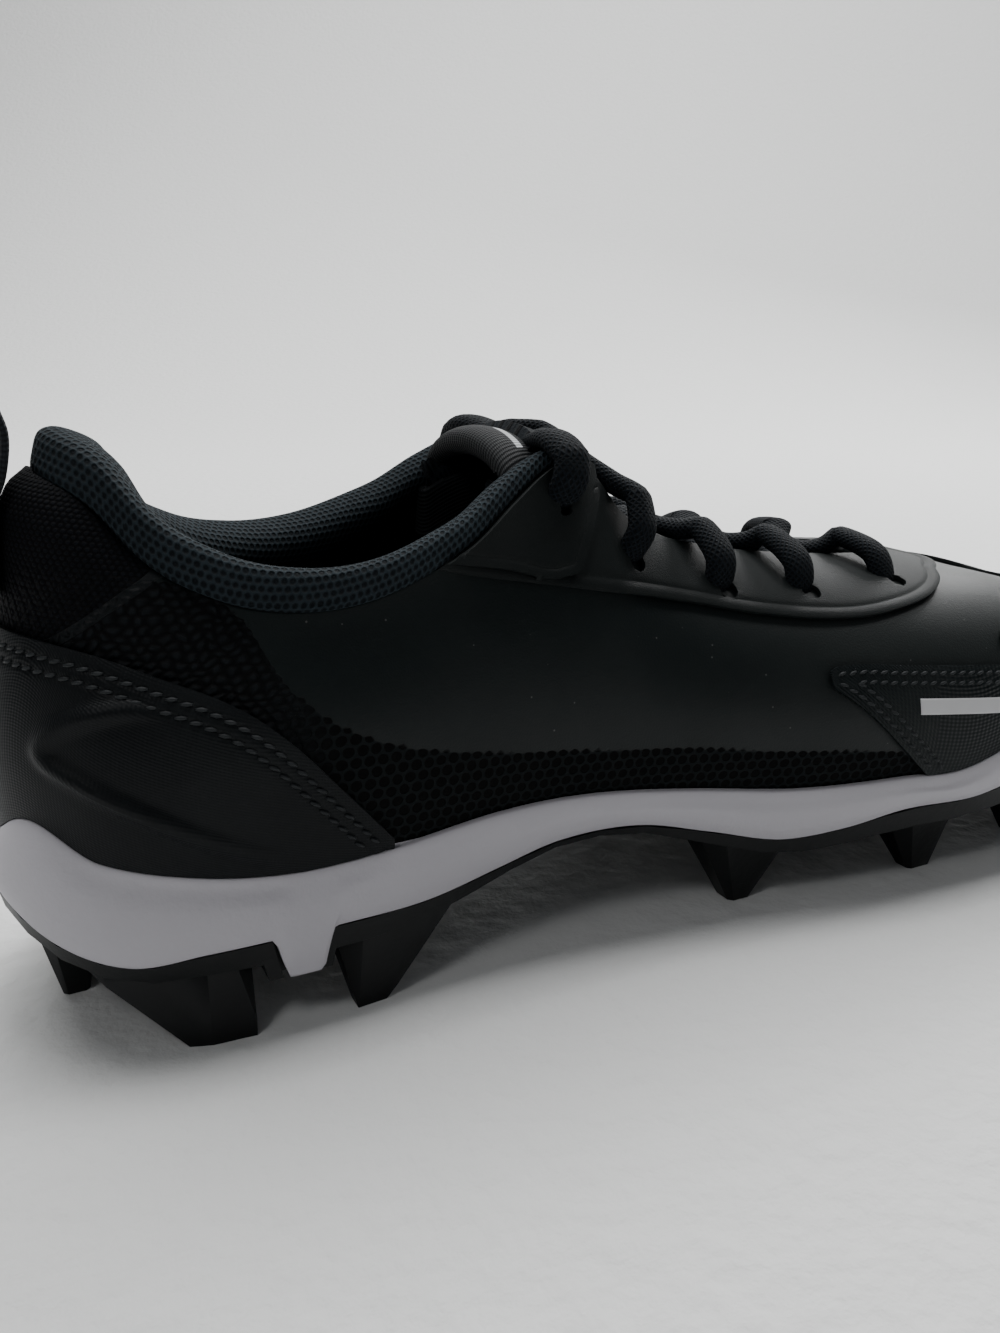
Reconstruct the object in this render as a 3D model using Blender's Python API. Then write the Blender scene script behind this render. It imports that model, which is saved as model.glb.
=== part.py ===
"""Baseball cleat, left shoe, size for a 280 mm foot. Metres, +Z up, toe towards +X, medial side towards -Y.

The upper is one hollow wall lofted through sections. Each section runs from the medial sole line, over
the wide line of the foot, to the top edge, and in front of the throat over the vamp to the other side.
"""
import math

import bmesh
import bpy
import numpy as np

MM = 0.001

# Driving dimensions
LENGTH = 302 * MM
BALL_WIDTH = 102 * MM
HEEL_HEIGHT = 87.5 * MM
INSTEP_HEIGHT = 87 * MM
STUD_HEIGHT = 14.5 * MM
SIDEWALL_HEIGHT = 20 * MM
FOOTBED_HEIGHT = 12.5 * MM

WALL = 2.2 * MM
OVERLAY = 1.0 * MM
CLEARANCE = 0.3 * MM
LIP = 2.8 * MM
LIP_BAND = 1.6 * MM
LIP_TAPER = 0.55
SIDEWALL_BULGE = 0.9 * MM
WALL_RINGS = (0.32, 0.72)
INSOLE_THICKNESS = 4 * MM
TONGUE_THICKNESS = 4.5 * MM
TONGUE_SIDE = 13 * MM
TONGUE_SHOULDER = 6 * MM
LACE_RADIUS = 2.1 * MM
LACE_STEPS = 12
# Share of the way to the next eyelet at which a crossing starts, and size of the lace that passes under
CROSSING_INSET = 0.2
UNDER_LACE = 0.97
EYELET_INSET = 9.5 * MM

COLLAR_RISE = 8.5 * MM
COLLAR_DEPTH = 9.0 * MM
COLLAR_OVERLAP = 13 * MM

LOOP_WIDTH = 14 * MM
LOOP_STRAP = 1.5 * MM
LOOP_RISE = 13 * MM
LOOP_REACH = 9 * MM
LOOP_FOOT = 1.5 * MM
LOOP_FLARE = 8 * MM
# The loop above the collar: shares of LOOP_REACH back from the strap, of LOOP_RISE above the collar
LOOP_ROUTE = ((0.04, 0.0), (0.30, 0.45), (0.72, 0.50), (1.0, 0.05), (1.0, -0.75))

PLATE = 2.4 * MM
RIM_WIDTH = 3.2 * MM
RIM_INSET = 0.8 * MM
TAB_SHARE = 0.165
TAB_TOP_WIDTH = 11 * MM
TAB_WIDTH = 6 * MM
TAB_DROP = 3.4 * MM
TAB_DEPTH = 3 * MM
TAB_REACH = 0.4
BRIDGE_CHEEK = 1.6 * MM
BRIDGE_WIDTH = 16 * MM
BRIDGE_TAPER = 0.85

STATIONS = 35
STATION_SPREAD = 0.15

# How far guides reach past what they cut, as a share of it
BEYOND = 1.3

# Where each line starts behind and ends in front, from the back of the heel
FEATHER_BACK = 8 * MM
FEATHER_FRONT_GAP = 9 * MM
WIDE_BACK = 5 * MM
WIDE_FRONT_GAP = 4.5 * MM
EDGE_BACK = 17.5 * MM
EDGE_FRONT_GAP = 21 * MM
SOLE_BACK = 2.5 * MM
SOLE_FRONT_GAP = 1.5 * MM

# Shares of LENGTH at which the throat ends and the eyelets sit
THROAT_END = 0.735
COLLAR_END = 0.365
COLLAR_RUNOUT = 0.03
TONGUE_TOP = 0.325
TONGUE_TOE = 0.80
EYELETS = (0.370, 0.434, 0.516, 0.605, 0.712)

# Half widths as shares of BALL_WIDTH: share of length, medial, lateral
FEATHER_WIDTH = (
    (0.00, 0.000, 0.000), (0.03, -0.160, 0.160), (0.06, -0.228, 0.230), (0.11, -0.290, 0.295),
    (0.20, -0.318, 0.325), (0.35, -0.275, 0.345), (0.50, -0.335, 0.405), (0.62, -0.412, 0.470),
    (0.72, -0.435, 0.480), (0.83, -0.412, 0.425), (0.92, -0.335, 0.285), (0.97, -0.245, 0.128),
    (1.00, -0.085, -0.085),
)
WIDE_WIDTH = (
    (0.00, 0.000, 0.000), (0.03, -0.202, 0.202), (0.06, -0.275, 0.277), (0.11, -0.332, 0.338),
    (0.20, -0.352, 0.362), (0.35, -0.338, 0.378), (0.50, -0.388, 0.440), (0.62, -0.450, 0.500),
    (0.72, -0.472, 0.512), (0.83, -0.447, 0.462), (0.92, -0.372, 0.325), (0.97, -0.275, 0.158),
    (1.00, -0.085, -0.085),
)
EDGE_WIDTH = (
    (0.00, 0.000, 0.000), (0.02, -0.130, 0.130), (0.05, -0.202, 0.204), (0.10, -0.265, 0.268),
    (0.16, -0.294, 0.298), (0.22, -0.290, 0.296), (0.28, -0.262, 0.270), (0.35, -0.205, 0.215),
    (0.42, -0.165, 0.175), (0.50, -0.145, 0.155), (0.60, -0.126, 0.136), (0.68, -0.102, 0.108),
    (0.74, -0.080, 0.080), (0.85, -0.100, 0.055), (0.95, -0.138, -0.020), (1.00, -0.085, -0.085),
)
SOLE_WIDTH = (
    (0.00, 0.000, 0.000), (0.03, -0.226, 0.226), (0.06, -0.297, 0.298), (0.11, -0.340, 0.345),
    (0.20, -0.352, 0.360), (0.35, -0.300, 0.350), (0.50, -0.372, 0.425), (0.62, -0.442, 0.492),
    (0.72, -0.470, 0.512), (0.83, -0.447, 0.462), (0.92, -0.372, 0.330), (0.97, -0.272, 0.165),
    (1.00, -0.085, -0.085),
)

# Heights above the plane that the studs hang from: share of length, share of the named height
FEATHER_RISE = (
    (0.00, 1.00), (0.20, 1.00), (0.40, 0.92), (0.55, 0.66), (0.72, 0.66), (0.86, 0.90), (1.00, 1.45),
)
WIDE_RISE = (
    (0.00, 0.406), (0.20, 0.406), (0.40, 0.360), (0.60, 0.295), (0.75, 0.305), (0.90, 0.315), (1.00, 0.335),
)
# Share of length, share of HEEL_HEIGHT, share of INSTEP_HEIGHT
EDGE_RISE = (
    (0.000, 1.000, 0.000), (0.025, 0.950, 0.000), (0.051, 0.850, 0.000), (0.093, 0.768, 0.000),
    (0.146, 0.730, 0.000), (0.203, 0.740, 0.000), (0.252, 0.395, 0.397), (0.277, 0.000, 0.830),
    (0.313, 0.000, 0.905), (0.351, 0.000, 0.968), (0.374, 0.000, 0.985), (0.392, 0.000, 0.945),
    (0.420, 0.000, 0.850), (0.461, 0.000, 0.775), (0.510, 0.000, 0.730), (0.590, 0.000, 0.685),
    (0.666, 0.000, 0.655), (0.746, 0.000, 0.630), (0.800, 0.000, 0.605), (0.867, 0.000, 0.555),
    (0.935, 0.000, 0.492), (1.000, 0.000, 0.415),
)
# How a section leaves the wide line and reaches the edge: share of length, rise, lean out, drop
EDGE_FULLNESS = (
    (0.00, 0.35, 0.25, 0.35), (0.15, 0.45, 0.20, 0.30), (0.35, 0.42, 0.30, 0.28), (0.50, 0.50, 0.42, 0.16),
    (0.65, 0.60, 0.50, 0.06), (0.80, 0.62, 0.52, 0.03), (1.00, 0.60, 0.50, 0.02),
)
WIDE_LEVEL = 0.3
LOWEST_LEVEL = 0.2
FEATHER_FULLNESS = 0.35
CROWN_HANDLE = 0.28

# Sidewall top and bottom: share of length, share of SIDEWALL_HEIGHT
SIDEWALL_TOP = (
    (0.000, 1.14), (0.010, 1.40), (0.050, 1.16), (0.100, 0.99), (0.160, 0.87), (0.226, 0.90),
    (0.300, 0.99), (0.376, 0.99), (0.451, 0.88), (0.534, 0.76), (0.625, 0.77), (0.695, 0.74),
    (0.725, 0.86), (0.755, 1.08), (0.800, 1.10), (0.900, 1.12), (1.000, 1.24),
)
SIDEWALL_BOTTOM = (
    (0.000, 0.66), (0.025, 0.38), (0.065, 0.18), (0.110, 0.23), (0.200, 0.26), (0.260, 0.24),
    (0.310, 0.33), (0.360, 0.47), (0.420, 0.49), (0.470, 0.32), (0.530, 0.11), (0.580, 0.16),
    (0.625, 0.28), (0.700, 0.30), (0.740, 0.40), (0.850, 0.52), (0.940, 0.68), (1.000, 0.88),
)
PLATE_BOTTOM = (
    (0.000, 0.47), (0.025, 0.20), (0.065, 0.01), (0.110, 0.00), (0.200, 0.00), (0.260, 0.03),
    (0.310, 0.20), (0.360, 0.38), (0.420, 0.38), (0.470, 0.16), (0.530, -0.08), (0.580, -0.06),
    (0.625, 0.02), (0.700, 0.05), (0.740, 0.12), (0.850, 0.26), (0.940, 0.42), (1.000, 0.66),
)

# Outlines of the overlays seen from the side: share of LENGTH, share of INSTEP_HEIGHT above the stud plane
COUNTER_TOP = (
    (-0.03, 0.700), (0.03, 0.680), (0.07, 0.640), (0.11, 0.596), (0.140, 0.553), (0.170, 0.470),
    (0.205, 0.330), (0.240, 0.190),
)
EYESTAY_FOOT = (
    (0.262, 0.800), (0.285, 0.775), (0.330, 0.740), (0.380, 0.705), (0.460, 0.635), (0.550, 0.565),
    (0.640, 0.530), (0.700, 0.530), (0.740, 0.545), (0.765, 0.575), (0.775, 0.640),
)
TAB_FOOT = ((0.275, 0.800), (0.320, 0.765), (0.362, 0.735), (0.374, 0.750), (0.382, 0.800), (0.396, 0.895))
PANEL_OUTLINE = (
    (0.562, 0.455), (0.564, 0.435), (0.575, 0.410), (0.690, 0.020), (0.890, 0.020), (0.868, 0.385),
    (0.780, 0.400), (0.700, 0.425), (0.620, 0.452), (0.575, 0.465),
)
CAP_FOOT = ((0.712, 0.478), (0.722, 0.456), (0.790, 0.425), (0.880, 0.410), (0.902, 0.020))
CAP_TOP = ((0.712, 0.490), (0.740, 0.512), (0.790, 0.528), (0.835, 0.560), (0.865, 0.620), (0.872, 0.720))

# Share of length, how far the laces sink onto the tongue
LACE_SINK = ((0.35, 1.0), (0.43, 0.80), (0.52, 0.40), (0.75, 0.30))

# Corners cut from a stud's outline, as shares of its half width
ROOT_CHAMFER = 0.5
TIP_CHAMFER = 0.35

# Studs: name, share of LENGTH along, share of BALL_WIDTH across, then in millimetres the length and width
# of the root, of the tip, and how far the tip is shifted along and across
STUDS = (
    ("heel_rear_medial", 0.096, -0.255, 29, 19, 12, 7, 8, -7),
    ("heel_rear_lateral", 0.096, 0.255, 29, 19, 12, 7, 8, 7),
    ("heel_front_medial", 0.242, -0.245, 27, 19, 6, 6, -7.5, -7.5),
    ("heel_front_lateral", 0.242, 0.255, 27, 19, 6, 6, -7.5, 7.5),
    ("heel_back", 0.046, 0.000, 13, 16, 5, 10, 1, 0),
    ("ball_rear_medial", 0.517, -0.265, 26, 18, 6, 6, -1, -3),
    ("ball_rear_lateral", 0.503, 0.324, 26, 18, 6, 6, -1, 3),
    ("ball_front_medial", 0.675, -0.324, 23, 18, 7, 5, 0, -4),
    ("ball_front_lateral", 0.662, 0.363, 24, 18, 7, 5, 0, 4),
    ("toe_medial", 0.801, -0.304, 22, 16, 7, 5, 1, -3),
    ("toe_lateral", 0.788, 0.284, 22, 16, 7, 5, 1, 3),
    ("ball_middle", 0.603, 0.029, 18, 20, 6, 11, 0, 0),
    ("toe_tip", 0.911, -0.059, 14, 24, 6, 14, 2, 0),
)

ENTRY = (
    "name", "x", "y", "root_length", "root_width", "tip_length", "tip_width", "shift_x", "shift_y",
)


# Curves through the tables
def smooth(places, values, at):
    """Curve through (place, value) with slopes from both neighbours; places rise."""
    places = np.asarray(places, float)
    values = np.asarray(values, float)
    steps = np.diff(places)
    rises = np.diff(values) / steps
    slopes = np.empty(len(places))
    slopes[1:-1] = (rises[:-1] * steps[1:] + rises[1:] * steps[:-1]) / (steps[:-1] + steps[1:])
    slopes[0] = rises[0]
    slopes[-1] = rises[-1]
    place = np.clip(at, places[0], places[-1])
    cell = np.clip(np.searchsorted(places, place, side="right") - 1, 0, len(places) - 2)
    t = (place - places[cell]) / steps[cell]
    return (
        values[cell] * (1 + 2 * t) * (1 - t) ** 2
        + values[cell + 1] * t * t * (3 - 2 * t)
        + steps[cell] * (slopes[cell] * t * (1 - t) ** 2 - slopes[cell + 1] * t * t * (1 - t))
    )


def ring_angle(share):
    """Angle around the shoe, 0 at the heel and pi at the toe, for a share of the length."""
    return math.acos(1 - 2 * min(max(share, 0.0), 1.0))


def length_share(angle):
    return (1 - math.cos(angle)) / 2


def ring_value(rows, angle):
    """Value at an angle around the shoe, smooth across heel and toe, from share, medial, lateral rows."""
    there = [ring_angle(row[0]) for row in rows]
    back = [2 * math.pi - place for place in reversed(there[1:-1])]
    places = there + back
    values = [row[1] for row in rows] + [row[-1] for row in reversed(rows[1:-1])]
    turn = 2 * math.pi
    places = [place - turn for place in places[-2:]] + places + [place + turn for place in places[:2]]
    values = values[-2:] + values + values[:2]
    return float(smooth(places, values, angle % turn))


def along(rows, share, column=1):
    return float(smooth([row[0] for row in rows], [row[column] for row in rows], share))


# The lines of the shoe
def between(back, front_gap, angle):
    return back + (LENGTH - front_gap - back) * length_share(angle)


def feather_point(angle):
    height = STUD_HEIGHT + FOOTBED_HEIGHT * ring_value(FEATHER_RISE, angle)
    return np.array((between(FEATHER_BACK, FEATHER_FRONT_GAP, angle),
                     BALL_WIDTH * ring_value(FEATHER_WIDTH, angle), height))


def wide_point(angle):
    height = STUD_HEIGHT + HEEL_HEIGHT * ring_value(WIDE_RISE, angle)
    return np.array((between(WIDE_BACK, WIDE_FRONT_GAP, angle),
                     BALL_WIDTH * ring_value(WIDE_WIDTH, angle), height))


def edge_point(angle):
    share = length_share(angle)
    height = HEEL_HEIGHT * along(EDGE_RISE, share, 1) + INSTEP_HEIGHT * along(EDGE_RISE, share, 2)
    return np.array((between(EDGE_BACK, EDGE_FRONT_GAP, angle),
                     BALL_WIDTH * ring_value(EDGE_WIDTH, angle), STUD_HEIGHT + height))


def edge_handle(angle, edge, wide):
    """Control point that the section aims from at its top edge."""
    share = length_share(angle)
    lean = along(EDGE_FULLNESS, share, 2)
    drop = along(EDGE_FULLNESS, share, 3)
    aim = edge + lean * (wide - edge) * np.array((1, 1, 0))
    aim[2] = edge[2] - drop * (edge[2] - wide[2])
    return aim


def side_point(angle, level):
    """Point of the outer surface: level 0 at the sole line, 1 at the top edge."""
    wide = wide_point(angle)
    if level <= WIDE_LEVEL:
        t = level / WIDE_LEVEL
        feather = feather_point(angle)
        knee = np.array((wide[0], wide[1], feather[2] + FEATHER_FULLNESS * (wide[2] - feather[2])))
        return (1 - t) ** 2 * feather + 2 * t * (1 - t) * knee + t * t * wide
    t = (level - WIDE_LEVEL) / (1 - WIDE_LEVEL)
    edge = edge_point(angle)
    rise = along(EDGE_FULLNESS, length_share(angle), 1)
    upright = wide + np.array((0, 0, rise * (edge[2] - wide[2])))
    aim = edge_handle(angle, edge, wide)
    return (
        (1 - t) ** 3 * wide + 3 * t * (1 - t) ** 2 * upright + 3 * t * t * (1 - t) * aim + t ** 3 * edge
    )


def crown_point(angle, across):
    """Point over the vamp between the medial edge line (0) and the lateral one (1)."""
    other = 2 * math.pi - angle
    left = edge_point(angle)
    right = edge_point(other)
    span = np.linalg.norm(right - left)
    left_aim = left - edge_handle(angle, left, wide_point(angle))
    right_aim = right - edge_handle(other, right, wide_point(other))
    left_knee = left + left_aim / max(np.linalg.norm(left_aim), MM * 0.001) * span * CROWN_HANDLE
    right_knee = right + right_aim / max(np.linalg.norm(right_aim), MM * 0.001) * span * CROWN_HANDLE
    t = across
    return (
        (1 - t) ** 3 * left + 3 * t * (1 - t) ** 2 * left_knee
        + 3 * t * t * (1 - t) * right_knee + t ** 3 * right
    )


def outward(point_at, first, second, first_step=0.02, second_step=0.02, second_range=(0.0, 1.0)):
    """Unit normal of a surface from small steps both ways."""
    low = max(second - second_step, second_range[0])
    high = min(second + second_step, second_range[1])
    run = point_at(first + first_step, second) - point_at(first - first_step, second)
    climb = point_at(first, high) - point_at(first, low)
    normal = np.cross(run, climb)
    return normal / np.linalg.norm(normal)


def skin(angle, place, offset=0.0):
    """Point off the outer surface. Place 0 to 1 climbs the medial side, 1 to 3 crosses the crown and
    3 to 4 goes down the lateral side; angle 0 is the heel and pi the toe."""
    if place >= 3:
        return skin_side(2 * math.pi - angle, 4 - place, offset)
    if place <= 1 or math.pi - angle < 0.03:
        return skin_side(angle, min(place, 1), offset)
    across = (place - 1) / 2
    point = crown_point(angle, across)
    return point + offset * outward(crown_point, angle, across)


def skin_side(angle, level, offset=0.0):
    return side_point(angle, level) + offset * outward(side_point, angle, level)


def level_at_height(angle, height):
    """Level of a side where it reaches a height above the ground."""
    low = 0.0
    high = 1.0
    for _ in range(24):
        middle = (low + high) / 2
        if side_point(angle, middle)[2] < height:
            low = middle
        else:
            high = middle
    return (low + high) / 2


def level_below_edge(angle, distance):
    """Level of a side at a distance along the surface below its top edge."""
    steps = 30
    travelled = 0.0
    here = side_point(angle, 1)
    for step in range(1, steps + 1):
        level = 1 - step / steps * (1 - LOWEST_LEVEL)
        there = side_point(angle, level)
        stride = np.linalg.norm(there - here)
        if travelled + stride >= distance:
            return level + (1 - (distance - travelled) / stride) * (1 - LOWEST_LEVEL) / steps
        travelled += stride
        here = there
    return LOWEST_LEVEL


def station_angle(station):
    """Stations from heel to toe, spread so that they lie about evenly round the outline."""
    turn = math.pi * station / STATIONS
    return turn + STATION_SPREAD * math.sin(2 * turn)


def nearest_station(share):
    return min(range(STATIONS + 1), key=lambda k: abs(length_share(station_angle(k)) - share))


def height_on(rows, angle, unit):
    return STUD_HEIGHT + unit * along(rows, length_share(angle))


# Solids from grids
def material(name, colour, roughness, metallic=0.0):
    made = bpy.data.materials.new(name)
    made.use_nodes = True
    shader = made.node_tree.nodes["Principled BSDF"]
    shader.inputs["Base Color"].default_value = (*colour, 1)
    shader.inputs["Roughness"].default_value = roughness
    shader.inputs["Metallic"].default_value = metallic
    return made


def add_object(name, shape, look):
    mesh = bpy.data.meshes.new(name)
    bmesh.ops.recalc_face_normals(shape, faces=shape.faces)
    shape.to_mesh(mesh)
    shape.free()
    mesh.materials.append(look)
    mesh.shade_smooth()
    mesh.set_sharp_from_angle(angle=math.radians(40))
    made = bpy.data.objects.new(name, mesh)
    bpy.context.collection.objects.link(made)
    return made


def canonical(angle, place):
    """One name for grid places that meet at the heel and at the toe."""
    if angle < 0.001 and place >= 3:
        return 0.0, 4 - place
    if math.pi - angle < 0.001 and place > 1:
        return angle, 4 - place if place >= 3 else 1.0
    return angle, place


def grid_quads(columns):
    """Quads between neighbouring columns of (angle, place)."""
    quads = []
    for here, there in zip(columns, columns[1:]):
        for row in range(len(here) - 1):
            quads.append((here[row], there[row], there[row + 1], here[row + 1]))
    return quads


def wall_between(name, quads, outer, inner, look):
    """Closed solid between two offsets of the same patch of skin. Every quad is split along the same
    diagonal, so that patches at different offsets stay parallel."""
    shape = bmesh.new()
    corners = {}
    edges = {}
    for quad in quads:
        keys = []
        for place in quad:
            key = tuple(round(float(part), 5) for part in canonical(*place))
            if key not in keys:
                keys.append(key)
        if len(keys) < 3:
            continue
        for key in keys:
            if key not in corners:
                corners[key] = (shape.verts.new(outer(*key)), shape.verts.new(inner(*key)))
        for triangle in (keys[:3], [keys[0], *keys[2:]]):
            if len(triangle) == 3:
                shape.faces.new([corners[key][0] for key in triangle])
                shape.faces.new([corners[key][1] for key in reversed(triangle)])
        for first, second in zip(keys, keys[1:] + keys[:1]):
            edges[first, second] = edges.get((first, second), 0) + 1
    for first, second in edges:
        if (second, first) not in edges:
            shape.faces.new([corners[second][0], corners[first][0], corners[first][1], corners[second][1]])
    return add_object(name, shape, look)


def loft(name, rings, look, closed_profile=False):
    """Closed solid through rings of points, with flat caps or, for a profile, a closed tube."""
    shape = bmesh.new()
    rows = [[shape.verts.new(point) for point in ring] for ring in rings]
    count = len(rows[0])
    for here, there in zip(rows, rows[1:]):
        for k in range(count):
            shape.faces.new((here[k], here[(k + 1) % count], there[(k + 1) % count], there[k]))
    if closed_profile:
        for k in range(count):
            shape.faces.new((rows[-1][k], rows[-1][(k + 1) % count], rows[0][(k + 1) % count], rows[0][k]))
    else:
        shape.faces.new(rows[0])
        shape.faces.new(rows[-1])
    return add_object(name, shape, look)


def combine(target, operand, operation):
    """Boolean with a guide object, which stays hidden."""
    step = target.modifiers.new(operand.name, "BOOLEAN")
    step.operation = operation
    step.object = operand
    step.solver = "EXACT"
    operand.hide_render = True
    operand.display_type = "WIRE"


def ring_angles():
    """Angles all the way round: heel, medial side, toe, lateral side."""
    there = [station_angle(k) for k in range(STATIONS + 1)]
    return there + [2 * math.pi - angle for angle in reversed(there[1:-1])]


# Upper
SIDE_LEVELS = (0.0, 0.10, 0.20, 0.30, 0.46, 0.62, 0.80, 1.0)
CROWN_PLACES = (1.5, 2.0, 2.5)


def build_upper(look):
    throat = nearest_station(THROAT_END)
    medial = list(SIDE_LEVELS)
    lateral = [4 - level for level in reversed(SIDE_LEVELS)]
    angles = [station_angle(k) for k in range(STATIONS + 1)]
    quads = grid_quads([[(angle, place) for place in medial] for angle in angles])
    quads += grid_quads([[(angle, place) for place in lateral] for angle in angles])
    quads += grid_quads([[(angle, place) for place in (1.0, *CROWN_PLACES, 3.0)] for angle in angles[throat:]])
    return wall_between("upper", quads, skin, lambda angle, place: skin(angle, place, -WALL), look)


# Overlays, each cut from a shell between two offsets of the same skin
def lip_height(angle):
    return height_on(SIDEWALL_TOP, angle, SIDEWALL_HEIGHT)


def build_shell(name, first_share, last_share, lift, sides, look):
    """Shell over the upper from the sidewall's lip to the edge, and over the crown past the throat."""
    stations = range(nearest_station(first_share), nearest_station(last_share) + 1)
    throat = nearest_station(THROAT_END)
    columns = {"medial": [], "lateral": [], "crown": []}
    for k in stations:
        angle = station_angle(k)
        low = level_at_height(angle, lip_height(angle) + CLEARANCE + OVERLAY)
        low = min(low, WIDE_LEVEL - 0.02)
        levels = [low, (low + WIDE_LEVEL) / 2] + [level for level in SIDE_LEVELS if level >= WIDE_LEVEL]
        columns["medial"].append([(angle, level) for level in levels])
        columns["lateral"].append([(angle, 4 - level) for level in reversed(levels)])
        if k >= throat:
            columns["crown"].append([(angle, place) for place in (1.0, *CROWN_PLACES, 3.0)])
    quads = []
    for side in sides:
        quads += grid_quads(columns[side])
    return wall_between(
        name, quads,
        lambda angle, place: skin(angle, place, lift + OVERLAY),
        lambda angle, place: skin(angle, place, lift),
        look,
    )


def side_outline(rows, steps=3):
    """Points of a smooth outline seen from the side, from share of length and share of instep height."""
    turns = [float(k) for k in range(len(rows))]
    points = []
    for k in range((len(rows) - 1) * steps + 1):
        share = float(smooth(turns, [row[0] for row in rows], k / steps))
        height = float(smooth(turns, [row[1] for row in rows], k / steps))
        points.append((share * LENGTH, STUD_HEIGHT + height * INSTEP_HEIGHT))
    return points


def keep_inside(shell, outline, sides, look):
    """Keeps the part of a shell inside an outline drawn on the side view."""
    low = -BALL_WIDTH if "medial" in sides else 0.0
    high = BALL_WIDTH if "lateral" in sides else 0.0
    rings = [[(x, y, z) for x, z in outline] for y in (low, high)]
    combine(shell, loft(shell.name + "_guide", rings, look), "INTERSECT")
    return shell


def build_heel_counter(look):
    sides = ("medial", "lateral")
    shell = build_shell("heel_counter", 0.0, 0.30, CLEARANCE, sides, look)
    top = side_outline(COUNTER_TOP)
    outline = top + [(top[-1][0], 0.0), (top[0][0], 0.0)]
    return keep_inside(shell, outline, sides, look)


def build_eyestay(look):
    sides = ("medial", "lateral", "crown")
    shell = build_shell("eyestay", 0.24, 0.83, CLEARANCE, sides, look)
    foot = side_outline(EYESTAY_FOOT)
    over = STUD_HEIGHT + BEYOND * INSTEP_HEIGHT
    outline = foot + [(foot[-1][0], over), (foot[0][0], over)]
    return keep_inside(shell, outline, sides, look)


def build_lace_tab(side, look):
    shell = build_shell("lace_tab_" + side, 0.25, 0.43, 3 * CLEARANCE + OVERLAY, (side,), look)
    foot = side_outline(TAB_FOOT)
    over = STUD_HEIGHT + BEYOND * INSTEP_HEIGHT
    outline = foot + [(foot[-1][0], over), (foot[0][0], over)]
    return keep_inside(shell, outline, (side,), look)


def build_forefoot_panel(side, look):
    shell = build_shell("forefoot_panel_" + side, 0.52, 0.93, CLEARANCE, (side,), look)
    return keep_inside(shell, side_outline(PANEL_OUTLINE, steps=1), (side,), look)


def build_toe_cap(look):
    sides = ("medial", "lateral", "crown")
    shell = build_shell("toe_cap", 0.68, 1.0, CLEARANCE, sides, look)
    foot = side_outline(CAP_FOOT)
    top = side_outline(CAP_TOP)
    beyond = LENGTH * BEYOND
    over = STUD_HEIGHT + INSTEP_HEIGHT
    outline = foot + [(foot[-1][0], 0.0), (beyond, 0.0), (beyond, over), (top[-1][0], over)]
    outline += [point for point in reversed(top)]
    return keep_inside(shell, outline, sides, look)


# Collar and tongue
COLLAR_PROFILE = (
    (-1.00, -0.02), (0.00, -0.02), (0.03, 0.35), (0.45, 0.42), (0.88, 0.10), (1.00, -0.30),
    (0.75, -0.85), (0.10, -1.06), (-0.60, -0.80), (-1.00, -0.20),
)
COLLAR_FADE = ((0.0, 1.0), (0.15, 0.88), (0.25, 0.72), (0.30, 0.58), (0.37, 0.38))


def collar_point(angle, up, out):
    """Point of the padded roll: up is past the top edge in rises, or down the wall in overlaps; out is
    in depths, from the inside of the wall when below the edge."""
    fade = along(COLLAR_FADE, length_share(min(angle, 2 * math.pi - angle)))
    if up <= 0:
        level = level_below_edge(angle, -up * COLLAR_OVERLAP * fade)
        return skin_side(angle, level, -WALL - CLEARANCE + min(out, 0) * COLLAR_DEPTH * fade)
    edge = edge_point(angle)
    climb = edge - edge_handle(angle, edge, wide_point(angle))
    climb = climb / np.linalg.norm(climb)
    normal = outward(side_point, angle, 1.0)
    if out >= 0:
        base = 0.0
        reach = out * COLLAR_DEPTH * 0.35
    else:
        base = out * (WALL + CLEARANCE)
        reach = out * COLLAR_DEPTH * fade
    return edge + climb * (CLEARANCE + up * COLLAR_RISE * fade) + normal * (base + reach)


def build_collar(look):
    last = nearest_station(COLLAR_END)
    rings = []
    for k in range(-last, last + 1):
        angle = station_angle(abs(k))
        ring = angle if k <= 0 else 2 * math.pi - angle
        rings.append([collar_point(ring, up, out) for up, out in COLLAR_PROFILE])
    return loft("collar", rings, look)


def tongue_depth(angle):
    """How far under the skin the tongue lies, below the collar's padding near its end."""
    share = length_share(angle)
    padding = 0.0
    past = (COLLAR_END + COLLAR_RUNOUT - share) / COLLAR_RUNOUT
    if past > 0:
        padding = COLLAR_DEPTH * along(COLLAR_FADE, share) * min(1.0, 1.5 * past)
    return WALL + 2 * CLEARANCE + padding


def build_tongue(look):
    first = nearest_station(TONGUE_TOP)
    last = nearest_station(TONGUE_TOE)
    columns = []
    for k in range(first, last + 1):
        angle = station_angle(k)
        low = level_below_edge(angle, TONGUE_SIDE)
        middle = level_below_edge(angle, TONGUE_SHOULDER)
        places = [low, middle, 1.0, 1.4, 1.8, 2.2, 2.6, 3.0, 4 - middle, 4 - low]
        columns.append([(angle, place) for place in places])
    return wall_between(
        "tongue", grid_quads(columns),
        lambda angle, place: skin(angle, place, -CLEARANCE - tongue_depth(angle)),
        lambda angle, place: skin(angle, place, -CLEARANCE - tongue_depth(angle) - TONGUE_THICKNESS),
        look,
    )


# Sole
def sole_point(angle, height, inset=0.0):
    """Point of the sole's outline at a height, moved in from the edge."""
    def outline(turn, _):
        return np.array((between(SOLE_BACK, SOLE_FRONT_GAP, turn), BALL_WIDTH * ring_value(SOLE_WIDTH, turn), 0))
    run = outline(angle + 0.02, 0) - outline(angle - 0.02, 0)
    away = np.array((-run[1], run[0], 0))
    away = -away / np.linalg.norm(away)
    point = outline(angle, 0) - away * inset
    point[2] = height
    return point


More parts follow.
